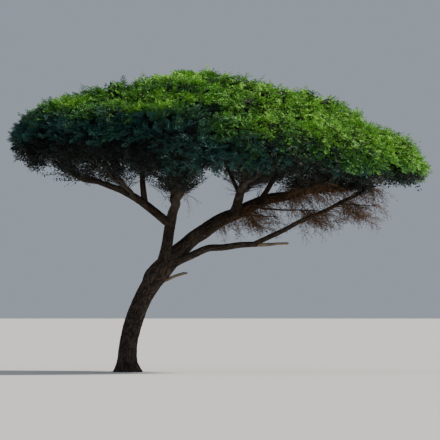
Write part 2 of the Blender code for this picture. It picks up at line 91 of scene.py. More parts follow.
# Trunk, as in the solids
TRUNK_TOP = 3.70
TRUNK_LEAN = 1.50
TRUNK_LEAN_POWER = 2.2
TRUNK_SWAY = 0.05
TRUNK_RADIUS = 0.28
TRUNK_END_RADIUS = 0.265
TRUNK_TAPER_POWER = 6
TRUNK_RINGS = 11
ROOT_FLARE = 0.17
ROOT_FLARE_HEIGHT = 0.33
ROOT_LOBES = 5
ROOT_LOBE_DEPTH = 0.16
ROOT_LOBE_TURN = 0.6
TRUNK_RIDGES = 3
TRUNK_RIDGE_DEPTH = 0.03
FORK_SWELL = 0.06
FORK_HEIGHT = 3.15
FORK_LENGTH = 0.45
TRUNK_ROUND_OFF = 0.30
ROUND_OFF_RINGS = np.array([0.45, 0.8, 1.0])

# Limbs, as in the solids
RING_SPACING = 0.55
TAPER_POWER = 1.3
CROOK = 0.9
CROOK_LENGTH = 1.3
LIFT_SHARE = 0.6
LIFT_LENGTH = 1.6

# Spaces of the foliage masses, as in the solids
INNER_RING = 6
OUTER_RING = 12
OUTER_PHASE = math.radians(15)
INNER_SHARE = 0.44
OUTER_SHARE = 0.775
PAD_RADIUS = 2.20
OUTER_PAD_REACH = 1.60
INNER_PAD_HALF_HEIGHT = 1.00
PAD_LIFT = 0.20
PAD_TILT_SHARE = 0.70
PAD_JITTER = 0.07
LOW_PAD = "foliage_outer_255"
LOW_PAD_DROP = 0.45
HUB_DEPTH = 0.78
FOOT_DEPTH = 0.97
FOOT_INSET = 0.30
DRY_FOOT = np.array([-1.02, 0.0, 0.45])
DRY_HUB = np.array([-0.62, 0.0, 0.52])
DRY_END = np.array([0.72, 0.0, 0.38])

LimbPlan = namedtuple("LimbPlan", "name parent leaves_at end climb bow root_radius tip_radius")
LIMB_ROWS = (
    ("bough_right_main", "trunk", 0.95, "foliage_outer_015", 2.55, 0.10, 0.245, 0.060),
    ("bough_left_stem", "trunk", 0.88, (1.42, 0.00, 4.86), 1.2, -0.06, 0.185, 0.165),
    ("bough_low_inner", "trunk", 0.82, (4.05, -0.75, 3.98), 2.4, 0.06, 0.135, 0.085),
    ("bough_low_outer", "bough_low_inner", 0.97, "foliage_outer_345", 0.97, -0.10, 0.082, 0.048),
    ("stub_dead", "bough_low_inner", 0.95, (5.10, -0.95, 4.01), 1.0, 0.02, 0.060, 0.038),
    ("stub_low", "trunk", 0.68, (1.93, -0.10, 3.12), 1.1, 0.02, 0.062, 0.042),
    ("bough_left_main", "bough_left_stem", 0.84, "foliage_outer_195", 2.1, -0.12, 0.145, 0.050),
    ("bough_centre_front", "bough_left_stem", 0.97, "foliage_outer_255", 2.6, 0.10, 0.155, 0.055),
    ("bough_centre_back", "bough_centre_front", 0.15, "foliage_outer_105", 1.7, 0.10, 0.112, 0.048),
    ("bough_left_riser", "bough_left_main", 0.27, "foliage_inner_180", 1.1, -0.06, 0.105, 0.044),
    ("bough_left_front", "bough_left_main", 0.38, "foliage_outer_225", 1.5, 0.10, 0.074, 0.044),
    ("bough_left_back", "bough_left_main", 0.44, "foliage_outer_135", 1.5, -0.10, 0.072, 0.044),
    ("bough_left_far", "bough_left_main", 0.60, "foliage_outer_165", 1.4, -0.10, 0.064, 0.042),
    ("bough_front_inner", "bough_centre_front", 0.34, "foliage_inner_240", 1.0, -0.05, 0.068, 0.044),
    ("bough_back_inner", "bough_centre_back", 0.32, "foliage_inner_120", 1.0, 0.05, 0.068, 0.044),
    ("bough_right_riser", "bough_right_main", 0.36, "foliage_inner_300", 1.05, -0.10, 0.160, 0.048),
    ("bough_right_crown", "bough_right_main", 0.49, "foliage_inner_000", 1.5, 0.05, 0.088, 0.044),
    ("bough_right_back", "bough_right_main", 0.57, "foliage_outer_045", 1.5, 0.12, 0.074, 0.044),
    ("bough_right_front", "bough_right_main", 0.62, "foliage_outer_315", 1.5, -0.12, 0.074, 0.044),
    ("bough_riser_front", "bough_right_riser", 0.33, "foliage_outer_285", 1.3, -0.10, 0.090, 0.046),
    ("bough_riser_back", "bough_right_riser", 0.20, "foliage_outer_075", 1.4, 0.10, 0.095, 0.046),
    ("bough_riser_centre", "bough_right_riser", 0.27, "foliage_centre", 1.0, 0.05, 0.068, 0.044),
    ("bough_back_right", "bough_riser_back", 0.34, "foliage_inner_060", 1.0, -0.05, 0.064, 0.042),
    ("spur_dry_near", "bough_right_main", 0.24, "dry_twigs_near", 1.0, 0.0, 0.036, 0.028),
    ("spur_dry_far", "bough_right_main", 0.44, "dry_twigs_far", 1.0, 0.0, 0.034, 0.026),
    ("spur_dry_low", "bough_low_outer", 0.72, "dry_twigs_low", 1.0, 0.0, 0.030, 0.024),
)
LIMBS = [LimbPlan(*row) for row in LIMB_ROWS]
MAIN_BOUGH = "bough_right_main"
DEAD_STUBS = ("stub_dead", "stub_low")
DRY_PADS = (
    ("dry_twigs_near", (4.15, -0.42, 4.68), (0.86, 0.40, 0.42)),
    ("dry_twigs_far", (5.95, 0.98, 4.86), (0.86, 0.44, 0.42)),
    ("dry_twigs_low", (7.25, -1.85, 4.98), (0.70, 0.50, 0.46)),
)

# Bark: steps between two points of a line, spacing of the rings along it, how many sides a limb has from
# each radius up, how plates shift, warp and lean, a furrow's slope and power, how deep furrows are and how
# high plates stand, least and range, lumps, and a collar's share of its parent's radius, most and reach
LINE_STEPS = 24
TRUNK_SPACING, BOUGH_SPACING, STUB_SPACING = 0.026, 0.045, 0.02
TRUNK_SIDES, STUB_SIDES, SNAG_SIDES = 128, 24, 8
BOUGH_SIDES = ((0.1, 36), (0.06, 22), (0.0, 14))
TRUNK_JOINS_BELOW = 0.25
BOUGH_BARK_SHARE = 0.7
LEVEL_FOR = 0.30
PLATE_ASPECT = 4.2
PLATE_SHIFTS = (0.05, 0.95)
PLATE_WARP = (1.7, 1.5)
PLATE_LEAN = 0.02
FURROW_PROFILE = (2.2, 0.7)
FURROW_DEPTH = (0.2, 1.3)
PLATE_HEIGHT = (0.70, 0.30)
LUMP_LENGTH = 0.35
LUMPINESS = 0.10
MOST_RELIEF = 0.12
COLLAR_SHARE, MOST_COLLAR, COLLAR_REACH = 0.85, 0.40, 1.3

# Ends of limbs: how far out the rings of a round end lie and how wide they are, as shares of the tip's
# radius, how a stem bends towards its hub and away from its limb, and how it tapers
ROUND_END = ((0.45, 0.85), (0.80, 0.50), (0.95, 0.15))
STEM_BEND = (0.45, 0.25)
STEM_TAPER = (1.0, 0.8, 0.35)

# Deadwood: plate width, relief and lumps, snags that leave it, and how its ends snap off
STUB_BARK = (0.03, 0.012)
STUB_LUMPS = 0.45
SNAG_BARK = (0.03, 0.003)
SNAG_LUMPS = 0.4
SNAG_RINGS = 8
SNAG_RADII = (0.016, 0.008)
SNAG_LIFT = 0.05
SNAP_LENGTH = 0.16
SNAP_SHARE = 0.4
SNAP_SLANT, SPLINTERS = 0.8, 0.3

# Ranks of twigs in a mass: how many, the cap of rays that they spread over and how they crowd to its pole,
# how far the rays scatter, where along their parents they leave, how far out they end, their rings and wave,
# and the radii and sides of their tubes. A rib leaves within heights over the hub.
Rank = namedtuple("Rank", "count cap crowding scatter leaves depth rings wave radii sides")
RIBS = Rank(7, math.radians(100), 1.0, 0.0, (-0.05, 0.30), 0.42, 7, 0.07, (0.030, 0.017), 6)
BRANCHLETS = Rank(40, math.radians(115), 1.0, 0.06, (0.55, 1.0), 0.66, 6, 0.07, (0.015, 0.009), 4)
SPRAYS = Rank(224, math.radians(138), 1.25, 0.05, (0.35, 1.0), 0.90, 3, 0.06, (0.008, 0.0035), 3)
MIDDLE_SPRAYS = SPRAYS._replace(count=196, cap=math.radians(100))
INNER_SPRAYS = SPRAYS._replace(
    count=120, cap=math.radians(136), crowding=1.5, scatter=0.0, leaves=(0.2, 0.8), depth=(0.45, 0.80)
)
MIDDLE_INNER_SPRAYS = INNER_SPRAYS._replace(count=200)
RIB_DROOP = 0.3
WAVE_TURNS = (1.2, 2.4)
SPRAY_LENGTHS = (0.94, 1.04)
INNER_HANG = 0.10
SEAM_OVERLAP = 0.15

# Surface of the crown. Swells and dips of its top along X are place, width and height, and its billows are
# length, bend and pace.
TOP_MARGIN = 0.16
RIM_SHARE = 0.970
TOP_SWELLS = ((1.8, 0.75, 0.30), (-0.3, 0.6, -0.24), (3.5, 0.8, -0.32), (6.5, 0.9, -0.16))
BILLOW_ALONG, BILLOW_ACROSS = (2.7, 0.22, 1.7), (1.35, 0.28, 1.3)
BILLOW_DEPTH = 0.34
CLUMP_EDGE = 0.06
CLUMP_DEPTH = 0.12
CLUMP_SINK = 0.14
INNER_SINK = 0.52
LEAST_THICKNESS = 0.2

# The front left stands back behind a lobe: its edge's place at a height, its lean and softness, and the
# heights that it runs between, of which the upper one rises by so much over so far along X
SET_BACK = 0.13
LOBE_EDGE = (1.20, 6.3)
LOBE_LEAN = 1.05
LOBE_SOFTNESS = 0.45
SET_BACK_FROM = 6.35
SET_BACK_TO = 8.15
SET_BACK_RISE = (0.36, 2.2)
SET_BACK_FADE = 0.40

# Tints of the leaves, which paint light and shade on them: the scores that part them, tiers on the left of
# painted shadow and painted light as height, width and weight, the place and softness of the tiers' right
# edge, and the line below which leaves are darkest, in painted shade, as X and Z
LIT_TO_SHADED_TINTS = ("fresh", "light", "middle", "deep", "shade")
TINT_SCORES = (0.42, 0.80, 1.18, 1.60)
DARKEST = len(LIT_TO_SHADED_TINTS)
PAINTED_LIGHT_TIERS = ((8.68, 0.16, 0.95), (8.34, 0.20, -0.40))
TIERS_LEFT_OF = (2.6, 0.4)
PAINTED_SHADE_BELOW = ((0.7, 7.2), (1.4, 6.0), (3.6, 6.0), (4.8, 6.6), (5.6, 6.6), (7.2, 6.1))
PAINTED_SHADE_EDGE = 0.3
# What each thing counts for in a score of painted shade, where lowness, cover and facing away start to
# count and up to how much, and the clumps' share of the hollows
Weights = namedtuple("Weights", "low cover away sunny hollow behind chance")
WEIGHTS = Weights(0.6, 0.5, 0.6, 0.7, 0.85, 0.95, 0.30)
LOW_FROM, COVER_FROM, MOST_LOW = 0.9, 0.5, 1.6
AWAY_FROM, AWAY_SOFTNESS = 0.15, 0.3
CLUMP_SHARE = 0.35
SHADE_HEART = np.array([3.9, 0.8, 6.6])
SUNNY_SIDE = np.array([0.84, 0.16, 0.62])

# Shoots on limbs: how far they spread, how far they climb, how much they keep to their limb's direction,
# how flat they spread, the shares of their length and climb that they vary between, rings, wave and radii
Shoots = namedtuple("Shoots", "length rise")
GREEN_SHOOTS, HANGING_SHOOTS = Shoots(0.75, 0.50), Shoots(0.72, -0.70)
SHOOT_AHEAD, SHOOT_FLATNESS = 0.65, 0.35
SHOOT_LENGTHS, SHOOT_CLIMBS = (0.5, 1.3), (0.1, 1.0)
SHOOT_SQUASH = np.array([1.0, 1.0, 0.6])
SHOOT_STEP = 0.02
SHOOT_RINGS, SHOOT_WAVE = 5, 0.08
SHOOT_RADII, SHOOT_SIDES = (0.013, 0.005), 3

# Green shoots under the crown: the stretch of a bough that they grow on, how many a metre, how far inside
# the crown they stay, how much below its underside they still bear leaves on the right and in front, and
# which share of those lower down are left, bare. A bump along X is place, width and height.
SHOOTS_ON = (0.18, 0.96)
SHOOTS_PER_METRE = 20
SHOOT_RIM, SHOOT_MARGIN, SHOOT_FLOOR = 0.97, 0.2, 5.9
LEAFY_BELOW = 0.40
LEAFY_BELOW_FROM = (4, 2)
LEAFY_MARGIN = 0.05
LOW_FRONT = (1.8, 0.8, 0.42)
BARE_SHARE = 0.22
NETWORK = (4.6, 0.9, 0.75)
BARE_LEFT = (0.3, 0.45)
BARE_FROM = 5.15

# Dry shoots: limb, first and last share of it, and how many a metre
DRY_SHOOTS = (
    ("bough_right_main", 0.24, 0.66, 44),
    ("bough_right_main", 0.60, 1.00, 40),
    ("bough_low_outer", 0.30, 1.00, 16),
    ("bough_right_front", 0.20, 0.90, 12),
    ("bough_centre_front", 0.74, 0.92, 7),
)
DRY_RIBS = 8
DRY_RIB_LENGTHS = (0.4, 0.95)
DRY_RIB_SHIFT = np.array([0.25, 0.0, -0.10])
DRY_TURMOIL = 0.5
DRY_RINGS, DRY_WAVES = 5, (0.15, 0.12)
DRY_RADII, DRY_SIDES = (0.0085, 0.0035), 4

# Twigs along a path: how many, from and to which share of it, their length, how far they spread, their lift
TwigPlan = namedtuple("TwigPlan", "per_path first last length spread lift")
LEAFY_TWIGS = TwigPlan(9, 0.30, 1.0, 0.28, math.radians(66), 0.26)
SHOOT_TWIGS = TwigPlan(9, 0.15, 1.0, 0.30, math.radians(60), 0.16)
INNER_TWIGS = TwigPlan(6, 0.35, 1.0, 0.36, math.radians(70), -0.12)
BARE_TWIGS = TwigPlan(7, 0.30, 1.0, 0.32, math.radians(50), 0.10)
BARE_FINE_TWIGS = TwigPlan(3, 0.30, 0.9, 0.14, math.radians(50), 0.05)
DRY_BRANCHLETS = TwigPlan(6, 0.20, 1.0, 0.36, math.radians(60), -0.30)
DRY_TWIGS = TwigPlan(9, 0.15, 1.0, 0.28, math.radians(70), -0.12)
DRY_FINE_TWIGS = TwigPlan(3, 0.20, 0.95, 0.15, math.radians(60), -0.15)
SNAGS = TwigPlan(3, 0.35, 0.9, 0.16, math.radians(55), 0.1)
TWIG_SLIP, TWIG_FLATNESS, TWIG_SIZES = 0.03, 0.6, (0.75, 1.2)
TWIG_RADIUS, DRY_TWIG_RADIUS, DRY_FINE_RADIUS = 0.0032, 0.0036, 0.0026

# Leaves: where along their twig the pairs sit, the scatter of their place, twig, direction and face, how far
# they point ahead, how their sizes vary, and how high their sides stand and their tips droop
LEAF_PAIRS = (0.14, 0.97)
LEAF_SLIP, TWIG_ROLL, LEAF_LOOSE, LEAF_ROLL = 0.015, 0.45, 0.20, 0.38
LEAF_AHEAD, LEAF_SIZES = (0.25, 0.50), (0.85, 1.15)
LEAF_FOLD, LEAF_DROOP = 0.06, 0.08
UNDER_SIZE, INNER_SIZE = 1.15, 1.65
DRY_LEAF = (2, 0.055, 0.38)
MOST_TRIANGLES = 190000

# Patterns and gloss. Bark fibres are taken as 2 to 5 mm wide, too fine to show, so they are drawn 35 mm
# wide and six times as long. The widths of weathered blotches and of patches of fresher leaves and twigs
# are judged.
FIBRE_WIDTH, FIBRE_STRETCH, FIBRE_RELIEF = 0.035, 0.16, 0.012
BLOTCH_WIDTH = 0.45
LEAF_PATCH, DRY_PATCH = 0.5, 0.3
BARK_ROUGHNESS, DEADWOOD_ROUGHNESS, TWIG_ROUGHNESS = 0.92, 0.85, 0.85
LEAF_ROUGHNESS, DRY_ROUGHNESS, FLOOR_ROUGHNESS = 0.6, 0.9, 0.9
BARK_SPECULAR, LEAF_SPECULAR = 0.2, 0.3

# Floor, suns and camera. Each sun has the direction that it shines from, its share of the key light's
# strength, its width in the sky in degrees, and its colour.
FLOOR_RADIUS, FLOOR_SIDES, FLOOR_HEIGHT = 450, 128, -0.002
SUNS = (
    ("key_light", SUNNY_SIDE, 1.0, 6.0, "FFFAF0"),
    ("fill_light", (0.10, -0.85, 0.35), 0.10, 40.0, "D6E4FF"),
)
EYE, AIM = (2.93, -170.0, 2.3), (2.93, 0.0, 4.75)
LENS, SENSOR, SEES_TO = 445.0, 36.0, 2000.0

# Seeds of the random draws. A row of pieces counts up from its own, by a step where one is given.
JITTER_SEED, PAD_SEED, PAD_SEED_STEP, DRY_PAD_SEED = 11, 7, 100, 31
TRUNK_SEED, BOUGH_SEED, STUB_SEED, SNAP_SEED, SNAG_SEED, BARK_SEED_STEP = 501, 520, 640, 660, 690, 3
LEAFY_SEED, LEAF_SEED, DRY_SEED = 71, 72, 81
SHOOT_SEED, SHOOT_TWIG_SEED, BARE_SEED, INNER_SEED = 91, 92, 93, 94


def unit(vectors):
    """Vectors divided by their length, along the last axis."""
    vectors = np.asarray(vectors, float)
    return vectors / np.maximum(np.linalg.norm(vectors, axis=-1, keepdims=True), 1e-12)


def linear(hex_colour):
    """Linear RGBA of an sRGB hex colour: c / 12.92 when dark, and otherwise ((c + 0.055) / 1.055)^2.4."""
    channels = np.array([int(hex_colour[k : k + 2], 16) for k in (0, 2, 4)]) / 255
    light = np.where(channels > 0.04045, ((channels + 0.055) / 1.055) ** 2.4, channels / 12.92)
    return (*(float(c) for c in light), 1.0)


def bump(values, place, width, height):
    """A smooth rise: height * exp(-((value - place) / width)^2)."""
    return height * np.exp(-(((values - place) / width) ** 2))


def left_of(values, place, softness):
    """A smooth step from 1 to 0 at a place: (1 - tanh((value - place) / softness)) / 2."""
    return 0.5 - 0.5 * np.tanh((values - place) / softness)


def run_along(points):
    """Length of a line from its start to each of its points."""
    steps = np.linalg.norm(np.diff(points, axis=0), axis=1)
    return np.concatenate([[0.0], np.cumsum(steps)])


# Shape of the crown and its masses
def crown_top(x, y):
    """Height of the crown over points in plan: rim + rise * (1 - r^a)^b, r being the share of the way out.

    The powers a and b run from blunt on the left, at -X, to long and low on the right.
    """
    u = (x - CROWN_MIDDLE[0]) / CROWN_HALF[0]
    v = (y - CROWN_MIDDLE[1]) / CROWN_HALF[1]
    share = np.minimum(np.hypot(u, v), RIM_STOP)
    right = 0.5 + 0.5 * u / np.maximum(share, 1e-6)
    fullness = FULLNESS[0] + (FULLNESS[1] - FULLNESS[0]) * right
    fall = FALL[0] + (FALL[1] - FALL[0]) * right
    return RIM_HEIGHT + (CROWN_TOP - RIM_HEIGHT) * (1 - share**fullness) ** fall


def crown_slope(x, y, step=0.25):
    """Steepness of the crown's top, from its heights a step to each side."""
    across = crown_top(x + step, y) - crown_top(x - step, y)
    deep = crown_top(x, y + step) - crown_top(x, y - step)
    return np.hypot(across, deep) / (2 * step)


def underside(x):
    """Height of the crown's underside, which drops along a ramp to the right."""
    return UNDERSIDE - UNDERSIDE_DROP * np.clip((x - UNDERSIDE_DROP_FROM) / UNDERSIDE_DROP_LENGTH, 0.0, 1.0)


class Pad:
    """The space of one foliage mass: a flat ellipsoid that leans with the crown's surface."""

    def __init__(self, name, centre, half_axes, seed, out=(0.0, 1.0), tilt=0.0, hangs=False):
        out = unit([out[0], out[1], 0.0])
        along = np.cross(out, UP)
        up = UP * math.cos(tilt) + out * math.sin(tilt)
        self.name = name
        self.seed = seed
        self.hangs = hangs
        self.centre = np.asarray(centre, float)
        self.axes = np.column_stack([along, np.cross(up, along), up]) * half_axes
        self.inverse = np.linalg.inv(self.axes)
        if hangs:
            self.foot, self.hub, self.end = (self.inside(place) for place in (DRY_FOOT, DRY_HUB, DRY_END))
        else:
            self.foot = self.centre - out * FOOT_INSET - UP * FOOT_DEPTH * half_axes[2]
            self.hub = self.inside((0.0, 0.0, -HUB_DEPTH))
            self.end = self.inside((0.0, 0.0, -HUB_DEPTH / 5))

    def inside(self, shares):
        """Places at shares of the three half-axes: centre + axes times shares."""
        return self.centre + np.asarray(shares, float) @ self.axes.T

    def reach(self, points):
        """Distance from the centre as a share of the ellipsoid: 1 is its surface."""
        return np.linalg.norm((points - self.centre) @ self.inverse.T, axis=-1)


@functools.cache
def crown_pads():
    """The green masses: one in the middle and two rings round it, each a little off its even place."""
    jitter = np.random.default_rng(JITTER_SEED)
    rings = (
        ("centre", 1, 0.0, 0.0, PAD_RADIUS),
        ("inner", INNER_RING, 0.0, INNER_SHARE, PAD_RADIUS),
        ("outer", OUTER_RING, OUTER_PHASE, OUTER_SHARE, OUTER_PAD_REACH),
    )
    pads = []
    for ring, count, phase, share, reach in rings:
        for k in range(count):
            angle = phase + math.tau * k / count
            out = np.array([math.cos(angle), math.sin(angle)])
            plan = CROWN_MIDDLE + out * CROWN_HALF * share + jitter.uniform(-PAD_JITTER, PAD_JITTER, 2)
            grow = 1 + jitter.uniform(-PAD_JITTER, PAD_JITTER) / 2
            tilt = math.atan(crown_slope(*plan)) * PAD_TILT_SHARE if share else 0.0
            name = f"foliage_{ring}" if count == 1 else f"foliage_{ring}_{round(math.degrees(angle)):03d}"
            top = crown_top(*plan) + PAD_LIFT
            half_height = (top - underside(plan[0])) / 2 if ring == "outer" else INNER_PAD_HALF_HEIGHT
            half_height += LOW_PAD_DROP / 2 if name == LOW_PAD else 0.0
            half_axes = (PAD_RADIUS * grow, reach * grow, half_height)
            seed = PAD_SEED_STEP * len(pads) + PAD_SEED
            pads.append(Pad(name, (*plan, top - half_height), half_axes, seed, out, tilt))
    return pads


@functools.cache
def dry_pads():
    """The masses of dry twigs, which hang from their spurs."""
    return [Pad(*pad, DRY_PAD_SEED + k, hangs=True) for k, pad in enumerate(DRY_PADS)]


# Centrelines of the limbs
class Limb:
    """A centreline with its radii, its parent's radius where it leaves it, and its mass if it has one."""

    def __init__(self, points, radii, parent_radius=0.0, pad=None):
        self.points = points
        self.radii = radii
        self.parent_radius = parent_radius
        self.pad = pad

    def at(self, share):
        """Points at shares of the centreline's length, and the radii there."""
        run = run_along(self.points)
        place = np.stack([np.interp(share * run[-1], run, column) for column in self.points.T], axis=-1)
        return place, np.interp(share * run[-1], run, self.radii)


def trunk_limb():
    """The trunk leans more with height: x = lean * (z / top)^power. The last rings round off its top."""
    straight = TRUNK_TOP - TRUNK_ROUND_OFF
    rounded = straight + TRUNK_ROUND_OFF * ROUND_OFF_RINGS
    z = np.append(np.linspace(0.0, straight, TRUNK_RINGS), rounded)
    share = z / TRUNK_TOP
    x = TRUNK_LEAN * share**TRUNK_LEAN_POWER
    y = TRUNK_SWAY * np.sin(math.tau * z / TRUNK_TOP)
    taper = TRUNK_RADIUS + (TRUNK_END_RADIUS - TRUNK_RADIUS) * share**TRUNK_TAPER_POWER
    flare = ROOT_FLARE * np.exp(-z / ROOT_FLARE_HEIGHT)
    return Limb(np.column_stack([x, y, z]), taper + bump(z, FORK_HEIGHT, FORK_LENGTH, FORK_SWELL) + flare)


def bough_limb(plan, start, end, seed, parent_radius, pad):
    """A limb whose height follows 1 - (1 - t)^climb, with a sideways bow and seeded crooks."""
    phase = np.random.default_rng(seed).uniform(0, math.tau, 2)
    span = end - start
    length = np.linalg.norm(span)
    t = np.linspace(0, 1, max(4, round(length / RING_SPACING) + 1))
    heading = unit([span[0], span[1], 1e-6])
    side = np.array([-heading[1], heading[0], 0.0])
    fade = np.sin(math.pi * t)
    crook = CROOK * plan.tip_radius * fade
    sideways = plan.bow * fade + crook * np.sin(math.tau * t * length / CROOK_LENGTH + phase[0])
    upwards = LIFT_SHARE * crook * np.sin(math.tau * t * length / LIFT_LENGTH + phase[1])
    points = start + span * t[:, None] + side * sideways[:, None]
    points[:, 2] = start[2] + span[2] * (1 - (1 - t) ** plan.climb) + upwards
    radii = plan.root_radius + (plan.tip_radius - plan.root_radius) * t**TAPER_POWER
    return Limb(points, radii, parent_radius, pad)


@functools.cache
def grown_limbs():
    """The trunk and all limbs, by name."""
    pads = {pad.name: pad for pad in crown_pads() + dry_pads()}
    limbs = {"trunk": trunk_limb()}
    for seed, plan in enumerate(LIMBS):
        start, parent_radius = limbs[plan.parent].at(plan.leaves_at)
        pad = pads.get(plan.end)
        end = pad.foot if pad else np.array(plan.end)
        limbs[plan.name] = bough_limb(plan, start, end, seed, float(parent_radius), pad)
    return limbs


# Meshes
def make_mesh(name, vertices, faces, smooth=True):
    """A mesh from an array of places and arrays of faces, one array for each number of corners."""
    mesh = bpy.data.meshes.new(name)
    sizes = np.concatenate([np.full(len(part), part.shape[1]) for part in faces])
    loops = np.concatenate([part.ravel() for part in faces])
    mesh.vertices.add(len(vertices))
    mesh.vertices.foreach_set("co", np.ascontiguousarray(vertices, np.float32).ravel())
    mesh.loops.add(len(loops))
    mesh.loops.foreach_set("vertex_index", loops.astype(np.int32))
    mesh.polygons.add(len(sizes))
    mesh.polygons.foreach_set("loop_start", np.concatenate([[0], np.cumsum(sizes)[:-1]]).astype(np.int32))
    mesh.polygons.foreach_set("use_smooth", np.full(len(sizes), smooth))
    mesh.update(calc_edges=True)
    mesh.validate()
    return mesh


def add_object(name, data):
    """An object of a mesh, light or camera, in the scene."""
    thing = bpy.data.objects.new(name, data)
    bpy.context.scene.collection.objects.link(thing)
    return thing


def show(name, shape, material, nodes, smooth=True):
    """Makes a piece of places and faces, fixes it to the root body, and hides the solids that it stands for.
    """
    piece = add_object(name, make_mesh(name, *shape, smooth))
    piece.data.materials.append(material)
    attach(piece, "root")
    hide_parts(*nodes)
    return piece


def path_frames(paths):
    """Two unit vectors across each path at its points, the second in its upright plane, and its tangents.

    side is level and square to the path's span; over = tangent x side and across = over x tangent.
    """
    span = paths[:, -1] - paths[:, 0]
    side = unit(np.cross(UP, span + np.array([1e-4, 2e-4, 0.0])))[:, None, :]
    tangent = unit(np.gradient(paths, axis=1))
    over = unit(np.cross(tangent, side))
    return np.cross(over, tangent), over, tangent


def ring_round(across, over, sides):
    """Unit vectors round a ring at each place: cos(turn) * across + sin(turn) * over."""
    turn = math.tau * np.arange(sides) / sides
    return across[..., None, :] * np.cos(turn)[:, None] + over[..., None, :] * np.sin(turn)[:, None]


def tube_faces(count, rings, sides):
    """Quads between the rings of many tubes, and one face that closes each end."""
    tube = np.arange(count)[:, None, None] * rings * sides
    ring = np.arange(rings - 1)[None, :, None] * sides
    k = np.arange(sides)
    after = (k + 1) % sides
    low = tube + ring
    quads = np.stack([low + k, low + after, low + sides + after, low + sides + k], axis=-1).reshape(-1, 4)
    first = np.arange(count)[:, None] * rings * sides
    return [quads, first + k[::-1], first + (rings - 1) * sides + k]


def tubes(paths, radii, sides):
    """Closed tubes along many paths, from the radius at their roots to the one at their tips."""
    across, over, _ = path_frames(paths)
    radius = np.linspace(*radii, paths.shape[1])[:, None, None]
    places = paths[:, :, None] + radius * ring_round(across, over, sides)
    return places.reshape(-1, 3), tube_faces(len(paths), paths.shape[1], sides)


def spikes(starts, ends, radius):
    """Closed three-sided spikes, each from a small triangle at its start to a point at its end."""
    run = unit(ends - starts)
    side = unit(np.cross(run, NEARLY_UP))
    base = starts[:, None] + radius * ring_round(side, np.cross(side, run), 3)
    places = np.concatenate([base, ends[:, None]], axis=1)
    faces = np.array([(0, 3, 1), (1, 3, 2), (2, 3, 0), (0, 1, 2)])
    return places.reshape(-1, 3), [(np.arange(len(starts))[:, None, None] * 4 + faces).reshape(-1, 3)]


def joined(parts):
    """Several sets of places and faces as one set."""
    places = np.concatenate([part[0] for part in parts])
    offsets = np.cumsum([0] + [len(part[0]) for part in parts[:-1]])
    faces = [face + offset for part, offset in zip(parts, offsets) for face in part[1]]
    return places, faces


# Bark
def smooth_line(points, values, spacing):
    """A curve through the points with values carried along it, resampled at an even spacing.

    Between two points it is the cubic h00 p0 + h10 m0 + h01 p1 + h11 m1, with slopes from their neighbours.
    """
    data = np.column_stack([points, values])
    slopes = np.gradient(data, axis=0)
    t = np.linspace(0, 1, LINE_STEPS, endpoint=False)[:, None]
    h00, h10 = 2 * t**3 - 3 * t**2 + 1, t**3 - 2 * t**2 + t
    h01, h11 = -2 * t**3 + 3 * t**2, t**3 - t**2
    fine = h00 * data[:-1, None] + h10 * slopes[:-1, None] + h01 * data[1:, None] + h11 * slopes[1:, None]
    fine = np.concatenate([fine.reshape(-1, data.shape[1]), data[-1:]])
    run = run_along(fine[:, :3])
    even = np.linspace(0, run[-1], max(4, round(run[-1] / spacing) + 1))
    out = np.column_stack([np.interp(even, run, column) for column in fine.T])
    return out[:, :3], out[:, 3], even


def lattice(seed, around, along, columns, rows):
    """Smooth noise from a grid of random values that closes on itself round a limb.

    around is a share of a turn and along a share of the length. Between grid points the values are
    blended by 3 f^2 - 2 f^3.
    """
    grid = np.random.default_rng(seed).random((columns, rows + 2))
    u, v = (around % 1.0) * columns, np.clip(along, 0.0, 1.0) * rows
    i, j = np.floor(u).astype(int), np.floor(v).astype(int)
    f, g = u - i, v - j
    f, g = f * f * (3 - 2 * f), g * g * (3 - 2 * g)
    i, after = i % columns, (i + 1) % columns
    low = grid[i, j] * (1 - f) + grid[after, j] * f
    high = grid[i, j + 1] * (1 - f) + grid[after, j + 1] * f
    return low * (1 - g) + high * g


def bark_plates(seed, around, along, girth, length, ridge):
    """Height of the bark from 0 in a furrow to 1 on a plate.

    The plates are cells round seeded points, one for each square of a grid in staggered columns that run
    along the limb, warped by smooth noise. With a and b the distances to the nearest two points, a furrow's
    profile is min(1, slope * (b - a))^power, and noise makes some furrows shallow.
    """
    columns = max(6, round(girth / ridge))
    rows = max(3, round(length / (ridge * PLATE_ASPECT)))
    half = columns // 2 + 1
    shifts = np.random.default_rng(seed).uniform(*PLATE_SHIFTS, (2, columns, rows + 8))
    warp_u = lattice(seed + 3, around, along, half, rows * 2) - 0.5
    warp_v = lattice(seed + 4, around, along, half, rows) - 0.5
    u = around * columns + PLATE_WARP[0] * warp_u + PLATE_LEAN * along * length * columns
    v = along * rows + PLATE_WARP[1] * warp_v
    near, second = np.full(u.shape, 9.0), np.full(u.shape, 9.0)
    for i in range(-1, 2):
        for j in range(-2, 2):
            column, row = np.floor(u).astype(int) + i, np.floor(v).astype(int) + j
            shift = shifts[:, column % columns, row + 4]
            away = np.hypot(u - column - shift[0], v - row - shift[1] - 0.5 * (column % columns % 2))
            second = np.minimum(second, np.maximum(near, away))
            near = np.minimum(near, away)
    edges = np.clip(FURROW_PROFILE[0] * (second - near), 0, 1) ** FURROW_PROFILE[1]
    depth = FURROW_DEPTH[0] + FURROW_DEPTH[1] * lattice(seed + 5, around, along, half, rows)
    height = PLATE_HEIGHT[0] + PLATE_HEIGHT[1] * lattice(seed + 1, around, along, columns * 2, rows * 3)
    return (1 - np.clip(depth, 0, 1) * (1 - edges)) * height


